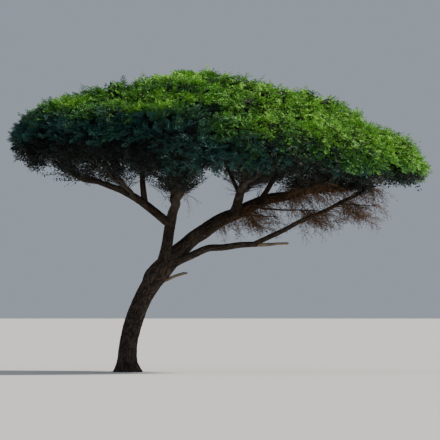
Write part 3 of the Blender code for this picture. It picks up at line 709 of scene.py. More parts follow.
def limb_surface(points, radii, run, sides, ridge, relief, seed, lobes=None, lumpy=LUMPINESS):
    """A limb's skin: centre + (radius * (lobes + lumps) + relief * (bark - 1)) * outward, by turn and run.

    It also gives each place its bark coordinates and the height of its bark. With lobes, which are for the
    trunk, the rings start level at the ground: tangent blends from straight up by exp(-(run / length)^2).
    """
    across, over, tangent = (frames[0] for frames in path_frames(points[None]))
    if lobes is not None:
        level = bump(run, 0.0, LEVEL_FOR, 1.0)[:, None]
        tangent = unit(tangent * (1 - level) + UP * level)
        over = unit(np.cross(tangent, across))
        across = np.cross(over, tangent)
    around, along = np.meshgrid(np.arange(sides) / sides, run / run[-1])
    turn = math.tau * around
    reach = radii.mean()
    plates = bark_plates(seed, around, along, math.tau * reach, run[-1], ridge)
    lumps = lattice(seed + 2, around, along, 3, max(3, round(run[-1] / LUMP_LENGTH))) - 0.5
    form = np.ones_like(plates) if lobes is None else lobes(turn, points[:, 2:])
    relief = np.minimum(relief, MOST_RELIEF * radii)[:, None]
    out = radii[:, None] * (form + lumpy * lumps) + (plates - 1) * relief
    places = points[:, None] + out[:, :, None] * ring_round(across, over, sides)
    skin = np.stack([reach * np.cos(turn), reach * np.sin(turn), run[:, None] * np.ones_like(out)], axis=-1)
    return places.reshape(-1, 3), tube_faces(1, len(points), sides), skin.reshape(-1, 3), plates.ravel()


def bark_piece(name, surfaces, material, nodes):
    """Joins limbs' skins into one piece that carries their bark coordinates and heights as attributes."""
    piece = show(name, joined([surface[:2] for surface in surfaces]), material, nodes)
    kinds = (("bark_place", "FLOAT_VECTOR", "vector"), ("bark_height", "FLOAT", "value"))
    for part, (attribute, kind, key) in enumerate(kinds, start=2):
        values = np.concatenate([surface[part] for surface in surfaces]).astype(np.float32).ravel()
        piece.data.attributes.new(attribute, kind, "POINT").data.foreach_set(key, values)


def trunk_lobes(turn, z):
    """Root lobes that fade with height, and three shallow ridges all the way up."""
    turn = turn + math.pi / 2
    lobes = ROOT_LOBE_DEPTH * np.exp(-z / ROOT_FLARE_HEIGHT) * np.cos(ROOT_LOBES * turn + ROOT_LOBE_TURN)
    return 1 + lobes + TRUNK_RIDGE_DEPTH * np.cos(TRUNK_RIDGES * turn + z)


def collared(limb, run, radii):
    """Swells a limb's root over its parent: 1 + swell * exp(-(run / (reach * parent radius))^2)."""
    swell = np.clip(COLLAR_SHARE * limb.parent_radius / radii[0] - 1, 0.0, MOST_COLLAR)
    return radii * (1 + bump(run, 0.0, COLLAR_REACH * limb.parent_radius + 1e-6, swell))


def broken(surface, sides, run, rng):
    """Slants and splinters a limb's end: rings near it slide back by up to the snap's length on one side.

    The slide is snap * (slant * (1 - cos(turn)) / 2 + splinter) * w, and w = ((run - start) / snap)^2.
    """
    places = surface[0].reshape(-1, sides, 3)
    snap = min(SNAP_LENGTH, run[-1] * SNAP_SHARE)
    weight = np.clip((run - run[-1] + snap) / snap, 0, 1)[:, None] ** 2
    turn = math.tau * np.arange(sides) / sides + rng.uniform(0, math.tau)
    slide = snap * (SNAP_SLANT * (1 - np.cos(turn)) / 2 + rng.uniform(0, SPLINTERS, sides))
    places = places - unit(places[-1].mean(0) - places[-2].mean(0)) * (slide * weight)[:, :, None]
    return places.reshape(-1, 3), *surface[1:]


def with_stem(limb):
    """A limb's points and radii carried on to a round end, or past the foot of its mass and up its stem."""
    tip = limb.radii[-1]
    if limb.pad is None:
        outs, widths = np.array(ROUND_END).T
        ends = limb.points[-1] + unit(limb.points[-1] - limb.points[-2]) * tip * outs[:, None]
        return np.concatenate([limb.points, ends]), np.concatenate([limb.radii, tip * widths])
    foot, hub = limb.pad.foot, limb.pad.hub
    bend = foot + (hub - foot) * STEM_BEND[0] + (limb.points[-2] - foot) * STEM_BEND[1]
    points = np.concatenate([limb.points[:-1], [bend, hub, limb.pad.end]])
    return points, np.concatenate([limb.radii[:-1], tip * np.array(STEM_TAPER)])


# Growth of the crown
def cap_rays(count, cap, phase, crowding=1.0):
    """Unit rays spread over a cap in a sunflower pattern, a golden angle apart.

    Their heights are 1 - (1 - cos(cap)) * share^crowding: even at 1, and drawn to the pole above that.
    """
    k = np.arange(count)
    polar = np.arccos(1 - (1 - math.cos(cap)) * ((k + 0.5) / count) ** crowding)
    turn = k * GOLDEN_ANGLE + phase
    return np.column_stack([np.sin(polar) * np.cos(turn), np.sin(polar) * np.sin(turn), np.cos(polar)])


def rank_rays(rank, phase, rng):
    """The rays of a rank of twigs, scattered a little where the rank says so."""
    rays = cap_rays(rank.count, rank.cap, phase, rank.crowding)
    return rays + rng.normal(0, rank.scatter, rays.shape) if rank.scatter else rays


def bent_paths(starts, ends, leaving, rings, wave, rng):
    """Paths that leave along a direction and bend to their ends: (1-t)^2 p0 + 2t(1-t) p1 + t^2 p2.

    p1 lies half the span out along the leaving direction. A wave adds a sine to each path, sideways and by
    up to half as much upwards.
    """
    span = np.linalg.norm(ends - starts, axis=1, keepdims=True)
    knees = starts + unit(leaving) * span * 0.5
    t = np.linspace(0, 1, rings)[None, :, None]
    paths = (1 - t) ** 2 * starts[:, None] + 2 * t * (1 - t) * knees[:, None] + t**2 * ends[:, None]
    if wave:
        side = unit(np.cross(UP, ends - starts) + 1e-6)
        turns = rng.uniform(*WAVE_TURNS, (len(starts), 1, 1))
        phase = rng.uniform(0, math.tau, (len(starts), 1, 1))
        sway = wave * span[:, None] * np.sin(math.pi * t) * np.sin(math.tau * turns * t + phase)
        paths = paths + side[:, None] * sway
        paths[:, :, 2] += 0.5 * sway[:, :, 0] * np.cos(phase[:, :, 0])
    return paths


def behind_the_lobe(points):
    """How far points of the front stand left of its lobe, whose edge leans left as it comes down.

    It is 1 to the left and 0 to the right, with a tanh between, and fades out near the hubs and the top.
    """
    x, y, z = points.T
    left = left_of(x, LOBE_EDGE[0] + LOBE_LEAN * (z - LOBE_EDGE[1]), LOBE_SOFTNESS)
    top = SET_BACK_TO + SET_BACK_RISE[0] * np.clip(x / SET_BACK_RISE[1], 0, 1)
    level = np.clip(np.minimum(z - SET_BACK_FROM, top - z) / SET_BACK_FADE, 0, 1)
    return left * level * (y < 0)


def set_back(points):
    """Pulls the crown's front left in behind the lobe: y becomes y * (1 - share)."""
    points = points.copy()
    points[:, 1] *= 1 - SET_BACK * behind_the_lobe(points)
    return points


def billows(x, y):
    """Waves in the crown's surface, from 0 in a hollow to 1 on a crest, twice as long along X as along Y.

    They add up sin(2 pi (x / length + bend * sin(pace * y))) and the same the other way round.
    """
    rows = ((x, y, *BILLOW_ALONG), (y, x, *BILLOW_ACROSS))
    waves = [np.sin(math.tau * (a / length + bend * np.sin(pace * b))) for a, b, length, bend, pace in rows]
    return 0.5 + 0.25 * (waves[0] + waves[1])


def within_the_dome(points, sink=0.0):
    """Moves points inside the crown's rim and under its top, so that leaves reach its outline and no more.

    The top has swells and dips along X, and billows. Points sink by a depth of their own as well.
    """
    points = points.copy()
    out = points[:, :2] - CROWN_MIDDLE
    share = np.hypot(*(out / CROWN_HALF).T)[:, None]
    points[:, :2] = CROWN_MIDDLE + out * np.minimum(1.0, RIM_SHARE / np.maximum(share, 1e-6))
    x, y = points[:, 0], points[:, 1]
    swell = sum(bump(x, *swell) for swell in TOP_SWELLS)
    ceiling = crown_top(x, y) - TOP_MARGIN + swell - BILLOW_DEPTH * (1 - billows(x, y)) - sink
    points[:, 2] = np.minimum(points[:, 2], np.maximum(ceiling, underside(x) + LEAST_THICKNESS))
    return points


def nearest(rays, others):
    """For each ray, the index of the other ray that it lies closest to."""
    return np.argmax(unit(rays) @ unit(others).T, axis=1)


def leave(paths, shares):
    """Places at shares of the way along paths, and the paths' directions there."""
    place = shares * (paths.shape[1] - 1)
    low = np.minimum(np.floor(place).astype(int), paths.shape[1] - 2)
    row = np.arange(len(paths))
    step = paths[row, low + 1] - paths[row, low]
    return paths[row, low] + step * (place - low)[:, None], unit(step)


Crown = namedtuple("Crown", "ribs branchlets sprays inner lift sunk behind chance")


def grown_pad(pad):
    """One green mass: its ribs, branchlets, sprays and inner sprays as paths, and where each spray sits.

    Twigs of each rank leave the nearest ones of the rank before. Sprays that end deep in another mass are
    left out. Each one that is kept has the height of its ray, how deep it lies between the branchlets, how
    far behind the lobe, and a chance.
    """
    rng = np.random.default_rng(pad.seed)
    phase = rng.uniform(0, math.tau)
    outer = "outer" in pad.name
    rib_rays = rank_rays(RIBS, phase, rng)
    ends = set_back(pad.inside(rib_rays * RIBS.depth))
    starts = pad.hub + UP * rng.uniform(*RIBS.leaves, (RIBS.count, 1))
    ribs = bent_paths(starts, ends, ends - starts - UP * RIB_DROOP, RIBS.rings, RIBS.wave, rng)

    rank = BRANCHLETS
    side_rays = rank_rays(rank, phase + 1.0, rng)
    starts, leaving = leave(ribs[nearest(side_rays, rib_rays)], rng.uniform(*rank.leaves, rank.count))
    ends = set_back(pad.inside(side_rays * rank.depth))
    branchlets = bent_paths(starts, ends, leaving, rank.rings, rank.wave, rng)

    rank = SPRAYS if outer else MIDDLE_SPRAYS
    rays = rank_rays(rank, phase + 2.0, rng)
    parent = nearest(rays, side_rays)
    apart = 1 - np.sum(unit(rays) * unit(side_rays[parent]), axis=1)
    sunk = np.clip(apart / CLUMP_EDGE, 0, 1)
    starts, leaving = leave(branchlets[parent], rng.uniform(*rank.leaves, rank.count))
    reach = rank.depth * (1 - CLUMP_DEPTH * sunk) * rng.uniform(*SPRAY_LENGTHS, rank.count)
    ends = set_back(pad.inside(rays * reach[:, None]))
    # How far behind the lobe each spray ends, which its tint takes as the lobe's painted shadow
    behind = behind_the_lobe(ends)
    ends = within_the_dome(ends, CLUMP_SINK * sunk)
    others = np.min([other.reach(ends) for other in crown_pads() if other is not pad], axis=0)
    kept = others > pad.reach(ends) - SEAM_OVERLAP
    sprays = bent_paths(starts, ends, leaving, rank.rings, rank.wave, rng)[kept]
    chance = rng.random(kept.sum())
    lift = rays[kept, 2]

    rank = INNER_SPRAYS if outer else MIDDLE_INNER_SPRAYS
    rays = rank_rays(rank, phase + 3.0, rng)
    starts, leaving = leave(branchlets[nearest(rays, side_rays)], rng.uniform(*rank.leaves, rank.count))
    reach = rng.uniform(*rank.depth, (rank.count, 1)) + INNER_HANG * np.clip(-rays[:, 2:], 0, 1)
    ends = within_the_dome(set_back(pad.inside(rays * reach)), INNER_SINK)
    inner = bent_paths(starts, ends, leaving, rank.rings, rank.wave, rng)
    return Crown(ribs, branchlets, sprays, inner, lift, sunk[kept], behind[kept], chance)


@functools.cache
def grown_crown():
    """All green masses as one."""
    return Crown(*(np.concatenate(parts) for parts in zip(*map(grown_pad, crown_pads()))))


def away_from(leaving, turn, flatness):
    """Directions square to others at a turn about them: cos(turn) * side + sin(turn) * flatness * over."""
    side = unit(np.cross(leaving, NEARLY_UP))
    return side * np.cos(turn) + np.cross(side, leaving) * np.sin(turn) * flatness


def limb_shoots(plans, shoots, rng):
    """Shoots along stretches of limbs, spread on all sides of them and flattened.

    A plan is the limb, the shares of it that the stretch runs between, and how many shoots a metre it has.
    """
    starts, leaving, turns = [], [], []
    for limb, first, last, per_metre in plans:
        count = max(4, round(run_along(limb.points)[-1] * (last - first) * per_metre))
        share = np.sort(rng.uniform(first, last, count))
        starts.append(limb.at(share)[0])
        ahead, before = limb.at(np.minimum(share + SHOOT_STEP, 1.0))[0], limb.at(share - SHOOT_STEP)[0]
        leaving.append(unit(ahead - before))
        turns.append(np.arange(count) * GOLDEN_ANGLE + rng.uniform(0, math.tau))
    starts, leaving, turns = np.concatenate(starts), np.concatenate(leaving), np.concatenate(turns)[:, None]
    heading = unit(leaving * SHOOT_AHEAD + away_from(leaving, turns, SHOOT_FLATNESS))
    size = shoots.length * rng.uniform(*SHOOT_LENGTHS, (len(starts), 1))
    climb = UP * shoots.rise * rng.uniform(*SHOOT_CLIMBS, (len(starts), 1))
    ends = starts + heading * size * SHOOT_SQUASH + climb
    return bent_paths(starts, ends, leaving + heading, SHOOT_RINGS, SHOOT_WAVE, rng)


@functools.cache
def limb_growth():
    """Leafy shoots where the boughs run above the crown's underside, and some bare twigs below it."""
    rng = np.random.default_rng(SHOOT_SEED)
    boughs = [limb for limb in grown_limbs().values() if limb.pad and not limb.pad.hangs]
    plans = [(Limb(*with_stem(limb)), *SHOOTS_ON, SHOOTS_PER_METRE) for limb in boughs]
    paths = limb_shoots(plans, GREEN_SHOOTS, rng)
    root, tip = paths[:, 0].T, paths[:, -1]
    inside = np.hypot(*((tip[:, :2] - CROWN_MIDDLE) / CROWN_HALF).T) < SHOOT_RIM
    inside &= tip[:, 2] < np.maximum(crown_top(tip[:, 0], tip[:, 1]) - SHOOT_MARGIN, SHOOT_FLOOR)
    right = np.clip((root[0] - LEAFY_BELOW_FROM[0]) / LEAFY_BELOW_FROM[1], 0, 1)
    lower = LEAFY_BELOW * right + bump(root[0], *LOW_FRONT)
    leafy = root[2] > underside(root[0]) - LEAFY_MARGIN - lower
    share = BARE_SHARE + bump(root[0], *NETWORK) + BARE_LEFT[1] * np.clip(BARE_LEFT[0] - root[0], 0, 1)
    bare = ~leafy & (root[2] > BARE_FROM) & (rng.random(len(paths)) < share)
    return paths[inside & leafy], paths[inside & bare]


def side_twigs(paths, plan, rng):
    """Twigs that leave each path in turn on all sides, a golden angle apart, and lift a little.

    It gives their starts, their ends and which path each one is on. At a share s of its path, a twig spreads
    by 1.15 - 0.75 s of the plan's angle, and its length is about 1.1 - 0.45 s of the plan's.
    """
    count = len(paths)
    slip = rng.uniform(-TWIG_SLIP, TWIG_SLIP, (count, plan.per_path))
    share = np.clip(np.linspace(plan.first, plan.last, plan.per_path) + slip, 0, 1).ravel()
    each = np.repeat(np.arange(count), plan.per_path)
    starts, leaving = leave(paths[each], share)
    turn = (np.arange(plan.per_path) * GOLDEN_ANGLE)[None] + rng.uniform(0, math.tau, (count, 1))
    angle = (plan.spread * (1.15 - 0.75 * share))[:, None]
    away = away_from(leaving, turn.ravel()[:, None], TWIG_FLATNESS)
    heading = unit(leaving * np.cos(angle) + away * np.sin(angle) + UP * plan.lift)
    size = plan.length * (1.1 - 0.45 * share) * rng.uniform(*TWIG_SIZES, len(share))
    return starts, starts + heading * size[:, None], each


def dry_branchlets(pad, rng):
    """Dead ribs that wander from a dry mass's spur, and branchlets that leave them all round and droop."""
    rays = cap_rays(DRY_RIBS, math.pi, rng.uniform(0, math.tau))
    ends = pad.inside(rays * rng.uniform(*DRY_RIB_LENGTHS, (DRY_RIBS, 1)) + DRY_RIB_SHIFT)
    starts = np.broadcast_to(pad.hub, ends.shape)
    leaving = ends - starts + rng.normal(0, DRY_TURMOIL, ends.shape)
    ribs = bent_paths(starts, ends, leaving, DRY_RINGS, DRY_WAVES[0], rng)
    starts, ends, _ = side_twigs(ribs, DRY_BRANCHLETS, rng)
    leaving = unit(ends - starts) + rng.normal(0, DRY_TURMOIL, ends.shape)
    return np.concatenate([ribs, bent_paths(starts, ends, leaving, DRY_RINGS, DRY_WAVES[1], rng)])


def finer_twigs(twigs, plan, rng):
    """Twigs on straight twigs that are given by their starts and ends."""
    return side_twigs(np.stack(twigs, axis=1), plan, rng)[:2]


def green_twigs(foliage):
    """Leafy twigs of the sprays, of the shoots on the boughs, and of the inner sprays, where it is dark."""
    plan = LEAFY_TWIGS._replace(per_path=foliage.twigs, length=foliage.twig_length)
    rows = (
        (grown_crown().sprays, plan, LEAFY_SEED),
        (limb_growth()[0], SHOOT_TWIGS, SHOOT_TWIG_SEED),
        (grown_crown().inner, INNER_TWIGS, INNER_SEED),
    )
    return [side_twigs(paths, plan, np.random.default_rng(seed)) for paths, plan, seed in rows]


def bare_twigs():
    """Bare twigs of the shoots below the crown, and finer ones on them."""
    rng = np.random.default_rng(BARE_SEED)
    twigs = side_twigs(limb_growth()[1], BARE_TWIGS, rng)[:2]
    return [np.concatenate(pair) for pair in zip(twigs, finer_twigs(twigs, BARE_FINE_TWIGS, rng))]


def painted_light_tints(crown):
    """The tint of each spray, from 0 fresh to 4 shade, and 5 for the darkest, under a line along X.

    The tints are painted light and shade, mixed with some chance. Sprays are ranked by how low they sit in
    their mass, how far under the crown's top they are, how deep in a hollow or behind the lobe, and how far
    they face away from the sunny side: all of these paint shade where the crown shades itself and light
    where the key light falls. On the left they also lie in a tier of painted shadow and a bright tier of
    painted light.
    """
    tips = crown.sprays[:, -1]
    x, y, z = tips.T
    outward = (tips - SHADE_HEART) / np.array([*CROWN_HALF, CROWN_TOP - SHADE_HEART[2]]) ** 2
    sunny = unit(outward) @ unit(SUNNY_SIDE)
    hollow = CLUMP_SHARE * crown.sunk + (1 - CLUMP_SHARE) * (1 - billows(x, y))
    # Painted shadow in a dark tier on the left, and painted light in a bright tier below it
    tier = sum(bump(z, *tier) for tier in PAINTED_LIGHT_TIERS) * left_of(x, *TIERS_LEFT_OF)
    low = np.clip(LOW_FROM - crown.lift, 0, MOST_LOW)
    cover = np.clip(crown_top(x, y) - z - COVER_FROM, 0, MOST_LOW)
    away = np.clip((AWAY_FROM - sunny) / AWAY_SOFTNESS, 0, 1)
    counts = zip(WEIGHTS, (low, cover, away, -sunny, hollow, crown.behind, crown.chance))
    score = tier + sum(weight * count for weight, count in counts)
    tints = np.searchsorted(TINT_SCORES, score)
    # Painted shade: sprays low under the crown, below a line along X, take the darkest tint
    tints[z + PAINTED_SHADE_EDGE * crown.chance < np.interp(x, *zip(*PAINTED_SHADE_BELOW))] = DARKEST
    return tints


def leaf_blades(starts, ends, per_twig, length, width, rng):
    """Leaves in opposite pairs along twigs, each a rhombus folded along its midrib: two triangles.

    Together the pairs make a feather: a leaf's length is 1 - 0.45 (2 s - 1)^2 at a share s of the twig, and
    the further up it sits, the more it points ahead. Its sides stand above its midrib, and its tip droops.
    """
    count = len(starts)
    each = (count, per_twig, 1)
    pairs = np.linspace(*LEAF_PAIRS, (per_twig + 1) // 2)[np.arange(per_twig) // 2]
    share = (pairs[None] + rng.uniform(-LEAF_SLIP, LEAF_SLIP, (count, per_twig)))[:, :, None]
    run = (ends - starts)[:, None]
    heading = unit(run)
    root = starts[:, None] + run * share
    up = unit(UP + rng.normal(0, TWIG_ROLL, (count, 1, 3)))
    side = unit(np.cross(heading, up))
    up = np.cross(side, heading)
    hand = np.where(np.arange(per_twig) % 2, 1.0, -1.0)[None, :, None]
    forward = rng.uniform(*LEAF_AHEAD, each) + share**4
    direction = unit(heading * forward + side * hand + rng.normal(0, LEAF_LOOSE, (count, per_twig, 3)))
    normal = unit(up + rng.normal(0, LEAF_ROLL, (count, per_twig, 3)))
    across = unit(np.cross(normal, direction))
    normal = np.cross(direction, across)
    size = length * (1 - 0.45 * (2 * share - 1) ** 2) * rng.uniform(*LEAF_SIZES, each)
    middle = root + direction * size * 0.5 + normal * size * LEAF_FOLD
    half = across * size * width * 0.5
    tip = root + direction * size - normal * size * LEAF_DROOP
    places = np.stack([root, middle + half, tip, middle - half], axis=2)
    corners = np.arange(count * per_twig)[:, None, None] * 4 + np.array([(0, 2, 1), (0, 3, 2)])
    return places.reshape(-1, 3), [corners.reshape(-1, 3)]


# Materials
def set_inputs(tree, node, inputs):
    """Sets a node's inputs. One that is given another node's output is linked."""
    for name, value in inputs.items():
        if isinstance(value, bpy.types.NodeSocket):
            tree.links.new(value, node.inputs[name])
        else:
            node.inputs[name].default_value = value


def add_node(tree, kind, settings=(), inputs=(), stops=()):
    """Adds a node with its settings, inputs and colour stops, and gives its outputs."""
    node = tree.nodes.new(kind)
    for name, value in dict(settings).items():
        setattr(node, name, value)
    set_inputs(tree, node, dict(inputs))
    for _ in stops[2:]:
        node.color_ramp.elements.new(0.5)
    for k, (place, colour) in enumerate(stops):
        node.color_ramp.elements[k].position = place
        node.color_ramp.elements[k].color = colour
    return node.outputs


def new_material(name, colour, roughness):
    """A material with a Principled shader of one colour and roughness, its node tree and its shader."""
    material = bpy.data.materials.new(name)
    material.use_nodes = True
    material.diffuse_color = colour
    tree = material.node_tree
    shader = tree.nodes["Principled BSDF"]
    set_inputs(tree, shader, {"Base Color": colour, "Roughness": roughness})
    return material, tree, shader


def shade_of(colour, *shares):
    """A colour with its red, green and blue times a share each, up to full."""
    return (*(min(channel * share, 1.0) for channel, share in zip(colour, shares)), 1.0)


def bark_material(name, furrow, plate, crest, roughness=BARK_ROUGHNESS):
    """Corky bark, split as it grew: dark furrows, grey-brown plates and paler crests that weather has worn.

    Cork is rough and open, so it looks dull, with hardly any gloss. Fibres run along the limb, and blotches
    dull it from place to place. The colour goes by 0.62 * (height + 0.95 * fibres).
    """
    material, tree, shader = new_material(name, plate, roughness)
    place = add_node(tree, "ShaderNodeAttribute", {"attribute_name": "bark_place"})["Vector"]
    height = add_node(tree, "ShaderNodeAttribute", {"attribute_name": "bark_height"})["Fac"]
    stretch = {"Vector": place, "Scale": (1.0, 1.0, FIBRE_STRETCH)}
    stretched = add_node(tree, "ShaderNodeMapping", (), stretch)["Vector"]
    fibre = {"Vector": stretched, "Scale": 1 / FIBRE_WIDTH, "Detail": 6.0, "Roughness": 0.65}
    fibres = add_node(tree, "ShaderNodeTexNoise", (), fibre)["Fac"]
    blotch = {"Vector": place, "Scale": 1 / BLOTCH_WIDTH, "Detail": 3.0, "Roughness": 0.5}
    blotches = add_node(tree, "ShaderNodeTexNoise", (), blotch)["Fac"]
    mix = {0: fibres, 1: 0.95, 2: height}
    mixed = add_node(tree, "ShaderNodeMath", {"operation": "MULTIPLY_ADD"}, mix)[0]
    level = add_node(tree, "ShaderNodeMath", {"operation": "MULTIPLY"}, {0: mixed, 1: 0.62})[0]
    stops = ((0.22, furrow), (0.62, plate), (0.98, crest))
    colour = add_node(tree, "ShaderNodeValToRGB", (), {"Fac": level}, stops)["Color"]
    stops = ((0.35, linear("C9C4BC")), (0.65, linear("FFFFFF")))
    dull = add_node(tree, "ShaderNodeValToRGB", (), {"Fac": blotches}, stops)["Color"]
    multiply = {"data_type": "RGBA", "blend_type": "MULTIPLY"}
    tint = add_node(tree, "ShaderNodeMix", multiply, {0: 1.0, 6: colour, 7: dull})[2]
    relief = {"Height": fibres, "Strength": 1.0, "Distance": FIBRE_RELIEF}
    normal = add_node(tree, "ShaderNodeBump", (), relief)["Normal"]
    set_inputs(tree, shader, {"Base Color": tint, "Normal": normal, "Specular IOR Level": BARK_SPECULAR})
    return material


def leaf_material(name, colour, patch=LEAF_PATCH, roughness=LEAF_ROUGHNESS):
    """Leaflets under thin wax, or dry twigs: a soft sheen, with a drift from dull to fresh in patches."""
    colour = tuple(colour)
    material, tree, shader = new_material(name, colour, roughness)
    place = add_node(tree, "ShaderNodeTexCoord")["Object"]
    noise = {"Vector": place, "Scale": 1 / patch, "Detail": 4.0}
    drift = add_node(tree, "ShaderNodeTexNoise", (), noise)["Fac"]
    dull, fresh = shade_of(colour, 0.72, 0.72, 0.72), shade_of(colour, 1.30, 1.22, 1.0)
    stops = ((0.32, dull), (0.5, colour), (0.70, fresh))
    shade = add_node(tree, "ShaderNodeValToRGB", (), {"Fac": drift}, stops)["Color"]
    set_inputs(tree, shader, {"Base Color": shade, "Specular IOR Level": LEAF_SPECULAR})
    return material


# Settings
def colour_property(name, hex_colour, description):
    """A colour setting with its default as an sRGB hex value."""
    look = {"subtype": "COLOR", "size": 4, "min": 0.0, "max": 1.0}
    return FloatVectorProperty(name=name, description=description, default=linear(hex_colour), **look)


def length_property(name, metres, description):
    """A length setting with its default in metres."""
    return FloatProperty(name=name, description=description, default=metres, unit="LENGTH")


class AcaciaBark(bpy.types.PropertyGroup):
    """Sizes and colours of the bark. Furrows are taken as 20 to 40 mm apart, and are drawn wider to show."""

    ridge: length_property("Ridge spacing", 0.062, "From one furrow to the next on the trunk")
    relief: length_property("Furrow depth", 0.020, "Depth of the furrows on the trunk")
    furrow: colour_property("Furrows", "17130F", "Colour in the furrows")
    plate: colour_property("Plates", "312923", "Colour of the bark's plates")
    crest: colour_property("Crests", "584B3F", "Colour of the highest, most weathered bark")
    deadwood: colour_property("Deadwood", "857664", "Colour of the bare dead stubs")
    twig: colour_property("Twigs", "28211C", "Colour of living twigs")


class AcaciaFoliage(bpy.types.PropertyGroup):
    """Sizes and colours of the foliage. A leaf stands for a feather of leaflets, too fine to show."""

    leaf_length: length_property("Leaf length", 0.092, "Length of one feathery leaf")
    leaf_width: FloatProperty(
        name="Leaf width", description="Width as a share of the length", default=0.46, subtype="FACTOR"
    )
    twigs: IntProperty(name="Twigs", description="Leafy twigs on each spray", default=LEAFY_TWIGS.per_path)
    twig_length: length_property("Twig length", LEAFY_TWIGS.length, "Length of a leafy twig")
    leaves: IntProperty(name="Leaves", description="Leaves on each twig", default=10)
    inner_leaves: IntProperty(name="Inner leaves", description="Leaves on each shaded twig", default=6)
    # Painted light and shade: Fresh and Light are painted light on sprays that face the key light, Middle
    # lies between, and Deep, Shade and Under are painted shade where the crown shades itself, Shade bluish
    # as in skylight
    fresh: colour_property("Fresh", "76AC3A", "Youngest sprays, on the sunny crests")
    light: colour_property("Light", "5E9734", "Light sprays of the top and right side")
    middle: colour_property("Middle", "437A2E", "Most of the crown")
    deep: colour_property("Deep", "2A5632", "Sprays in the hollows and low on the sides")
    shade: colour_property("Shade", "214D45", "Sprays low on the shaded sides")
    under: colour_property("Under", "101E17", "Leaves inside the crown and on its underside")
    dry: colour_property("Dry", "7A5532", "Dry twigs that still have their bark")
    dry_dark: colour_property("Dry and dark", "55402C", "Older dry twigs and withered leaves")


class AcaciaStage(bpy.types.PropertyGroup):
    """Floor and light."""

    floor: colour_property("Floor", "CFCCC6", "Colour of the floor")
    sky: colour_property("Sky", "D8E4F2", "Colour of the soft light all round")
    sky_strength: FloatProperty(name="Sky strength", description="Strength of the soft light", default=0.45)
    key_strength: FloatProperty(name="Key strength", description="Strength of the key light", default=6.2)


# Operators
class ACACIA_OT_trunk(bpy.types.Operator):
    """Trunk with its root flare, carried on into the great right-hand bough."""

    bl_idname = "acacia.trunk"
    bl_label = "Trunk"

    def execute(self, context):
        bark = context.scene.acacia_bark
        trunk, bough = grown_limbs()["trunk"], grown_limbs()[MAIN_BOUGH]
        below = trunk.points[:, 2] < bough.points[0, 2] - TRUNK_JOINS_BELOW
        points, radii = with_stem(bough)
        points = np.concatenate([trunk.points[below], points[1:]])
        radii = np.concatenate([trunk.radii[below], radii[1:]])
        points, radii, run = smooth_line(points, radii, TRUNK_SPACING)
        points[0, 2] = 0.0
        size = (TRUNK_SIDES, bark.ridge, bark.relief)
        surface = limb_surface(points, radii, run, *size, TRUNK_SEED, trunk_lobes)
        material = bark_material("furrowed_trunk_bark", bark.furrow, bark.plate, bark.crest)
        bark_piece("trunk_bark", [surface], material, ["trunk", MAIN_BOUGH])
        return {"FINISHED"}


class ACACIA_OT_boughs(bpy.types.Operator):
    """Boughs, each from inside its parent to the stem of the mass that it carries."""

    bl_idname = "acacia.boughs"
    bl_label = "Boughs"

    def execute(self, context):
        bark = context.scene.acacia_bark
        texture = (bark.ridge * BOUGH_BARK_SHARE, bark.relief * BOUGH_BARK_SHARE)
        surfaces = {}
        for k, (name, limb) in enumerate(grown_limbs().items()):
            if name in ("trunk", MAIN_BOUGH, *DEAD_STUBS):
                continue
            points, radii, run = smooth_line(*with_stem(limb), BOUGH_SPACING)
            radii = collared(limb, run, radii)
            sides = next(sides for radius, sides in BOUGH_SIDES if limb.radii[0] > radius)
            seed = BOUGH_SEED + BARK_SEED_STEP * k
            surfaces[name] = limb_surface(points, radii, run, sides, *texture, seed)
        material = bark_material("bough_bark", bark.furrow, bark.plate, bark.crest)
        bark_piece("boughs_bark", list(surfaces.values()), material, surfaces)
        return {"FINISHED"}


class ACACIA_OT_deadwood(bpy.types.Operator):
    """Dead stubs with splintered ends, in bare wood that sun and rain have turned grey and cracked."""

    bl_idname = "acacia.deadwood"
    bl_label = "Dead stubs"

    def execute(self, context):
        surfaces = []
        for k, name in enumerate(DEAD_STUBS):
            limb, rng = grown_limbs()[name], np.random.default_rng(SNAP_SEED + k)
            points, radii, run = smooth_line(limb.points, limb.radii, STUB_SPACING)
            radii = collared(limb, run, radii)
            seed = STUB_SEED + BARK_SEED_STEP * k
            skin = limb_surface(points, radii, run, STUB_SIDES, *STUB_BARK, seed, lumpy=STUB_LUMPS)
            surfaces.append(broken(skin, STUB_SIDES, run, rng))
            for start, end in zip(*side_twigs(limb.points[None], SNAGS, rng)[:2]):
                leaving = (end - start)[None] + UP * SNAG_LIFT
                line = bent_paths(start[None], end[None], leaving, SNAG_RINGS, 0.0, rng)[0]
                run = np.linspace(0, np.linalg.norm(end - start), SNAG_RINGS)
                radii = np.linspace(*SNAG_RADII, SNAG_RINGS)
                skin = limb_surface(line, radii, run, SNAG_SIDES, *SNAG_BARK, SNAG_SEED, lumpy=SNAG_LUMPS)
                surfaces.append(broken(skin, SNAG_SIDES, run, rng))
        wood = tuple(context.scene.acacia_bark.deadwood)
        dark, pale = shade_of(wood, 0.35, 0.35, 0.35), shade_of(wood, 1.35, 1.35, 1.35)
        material = bark_material("weathered_deadwood", dark, wood, pale, DEADWOOD_ROUGHNESS)
        bark_piece("dead_stubs", surfaces, material, DEAD_STUBS)
        return {"FINISHED"}


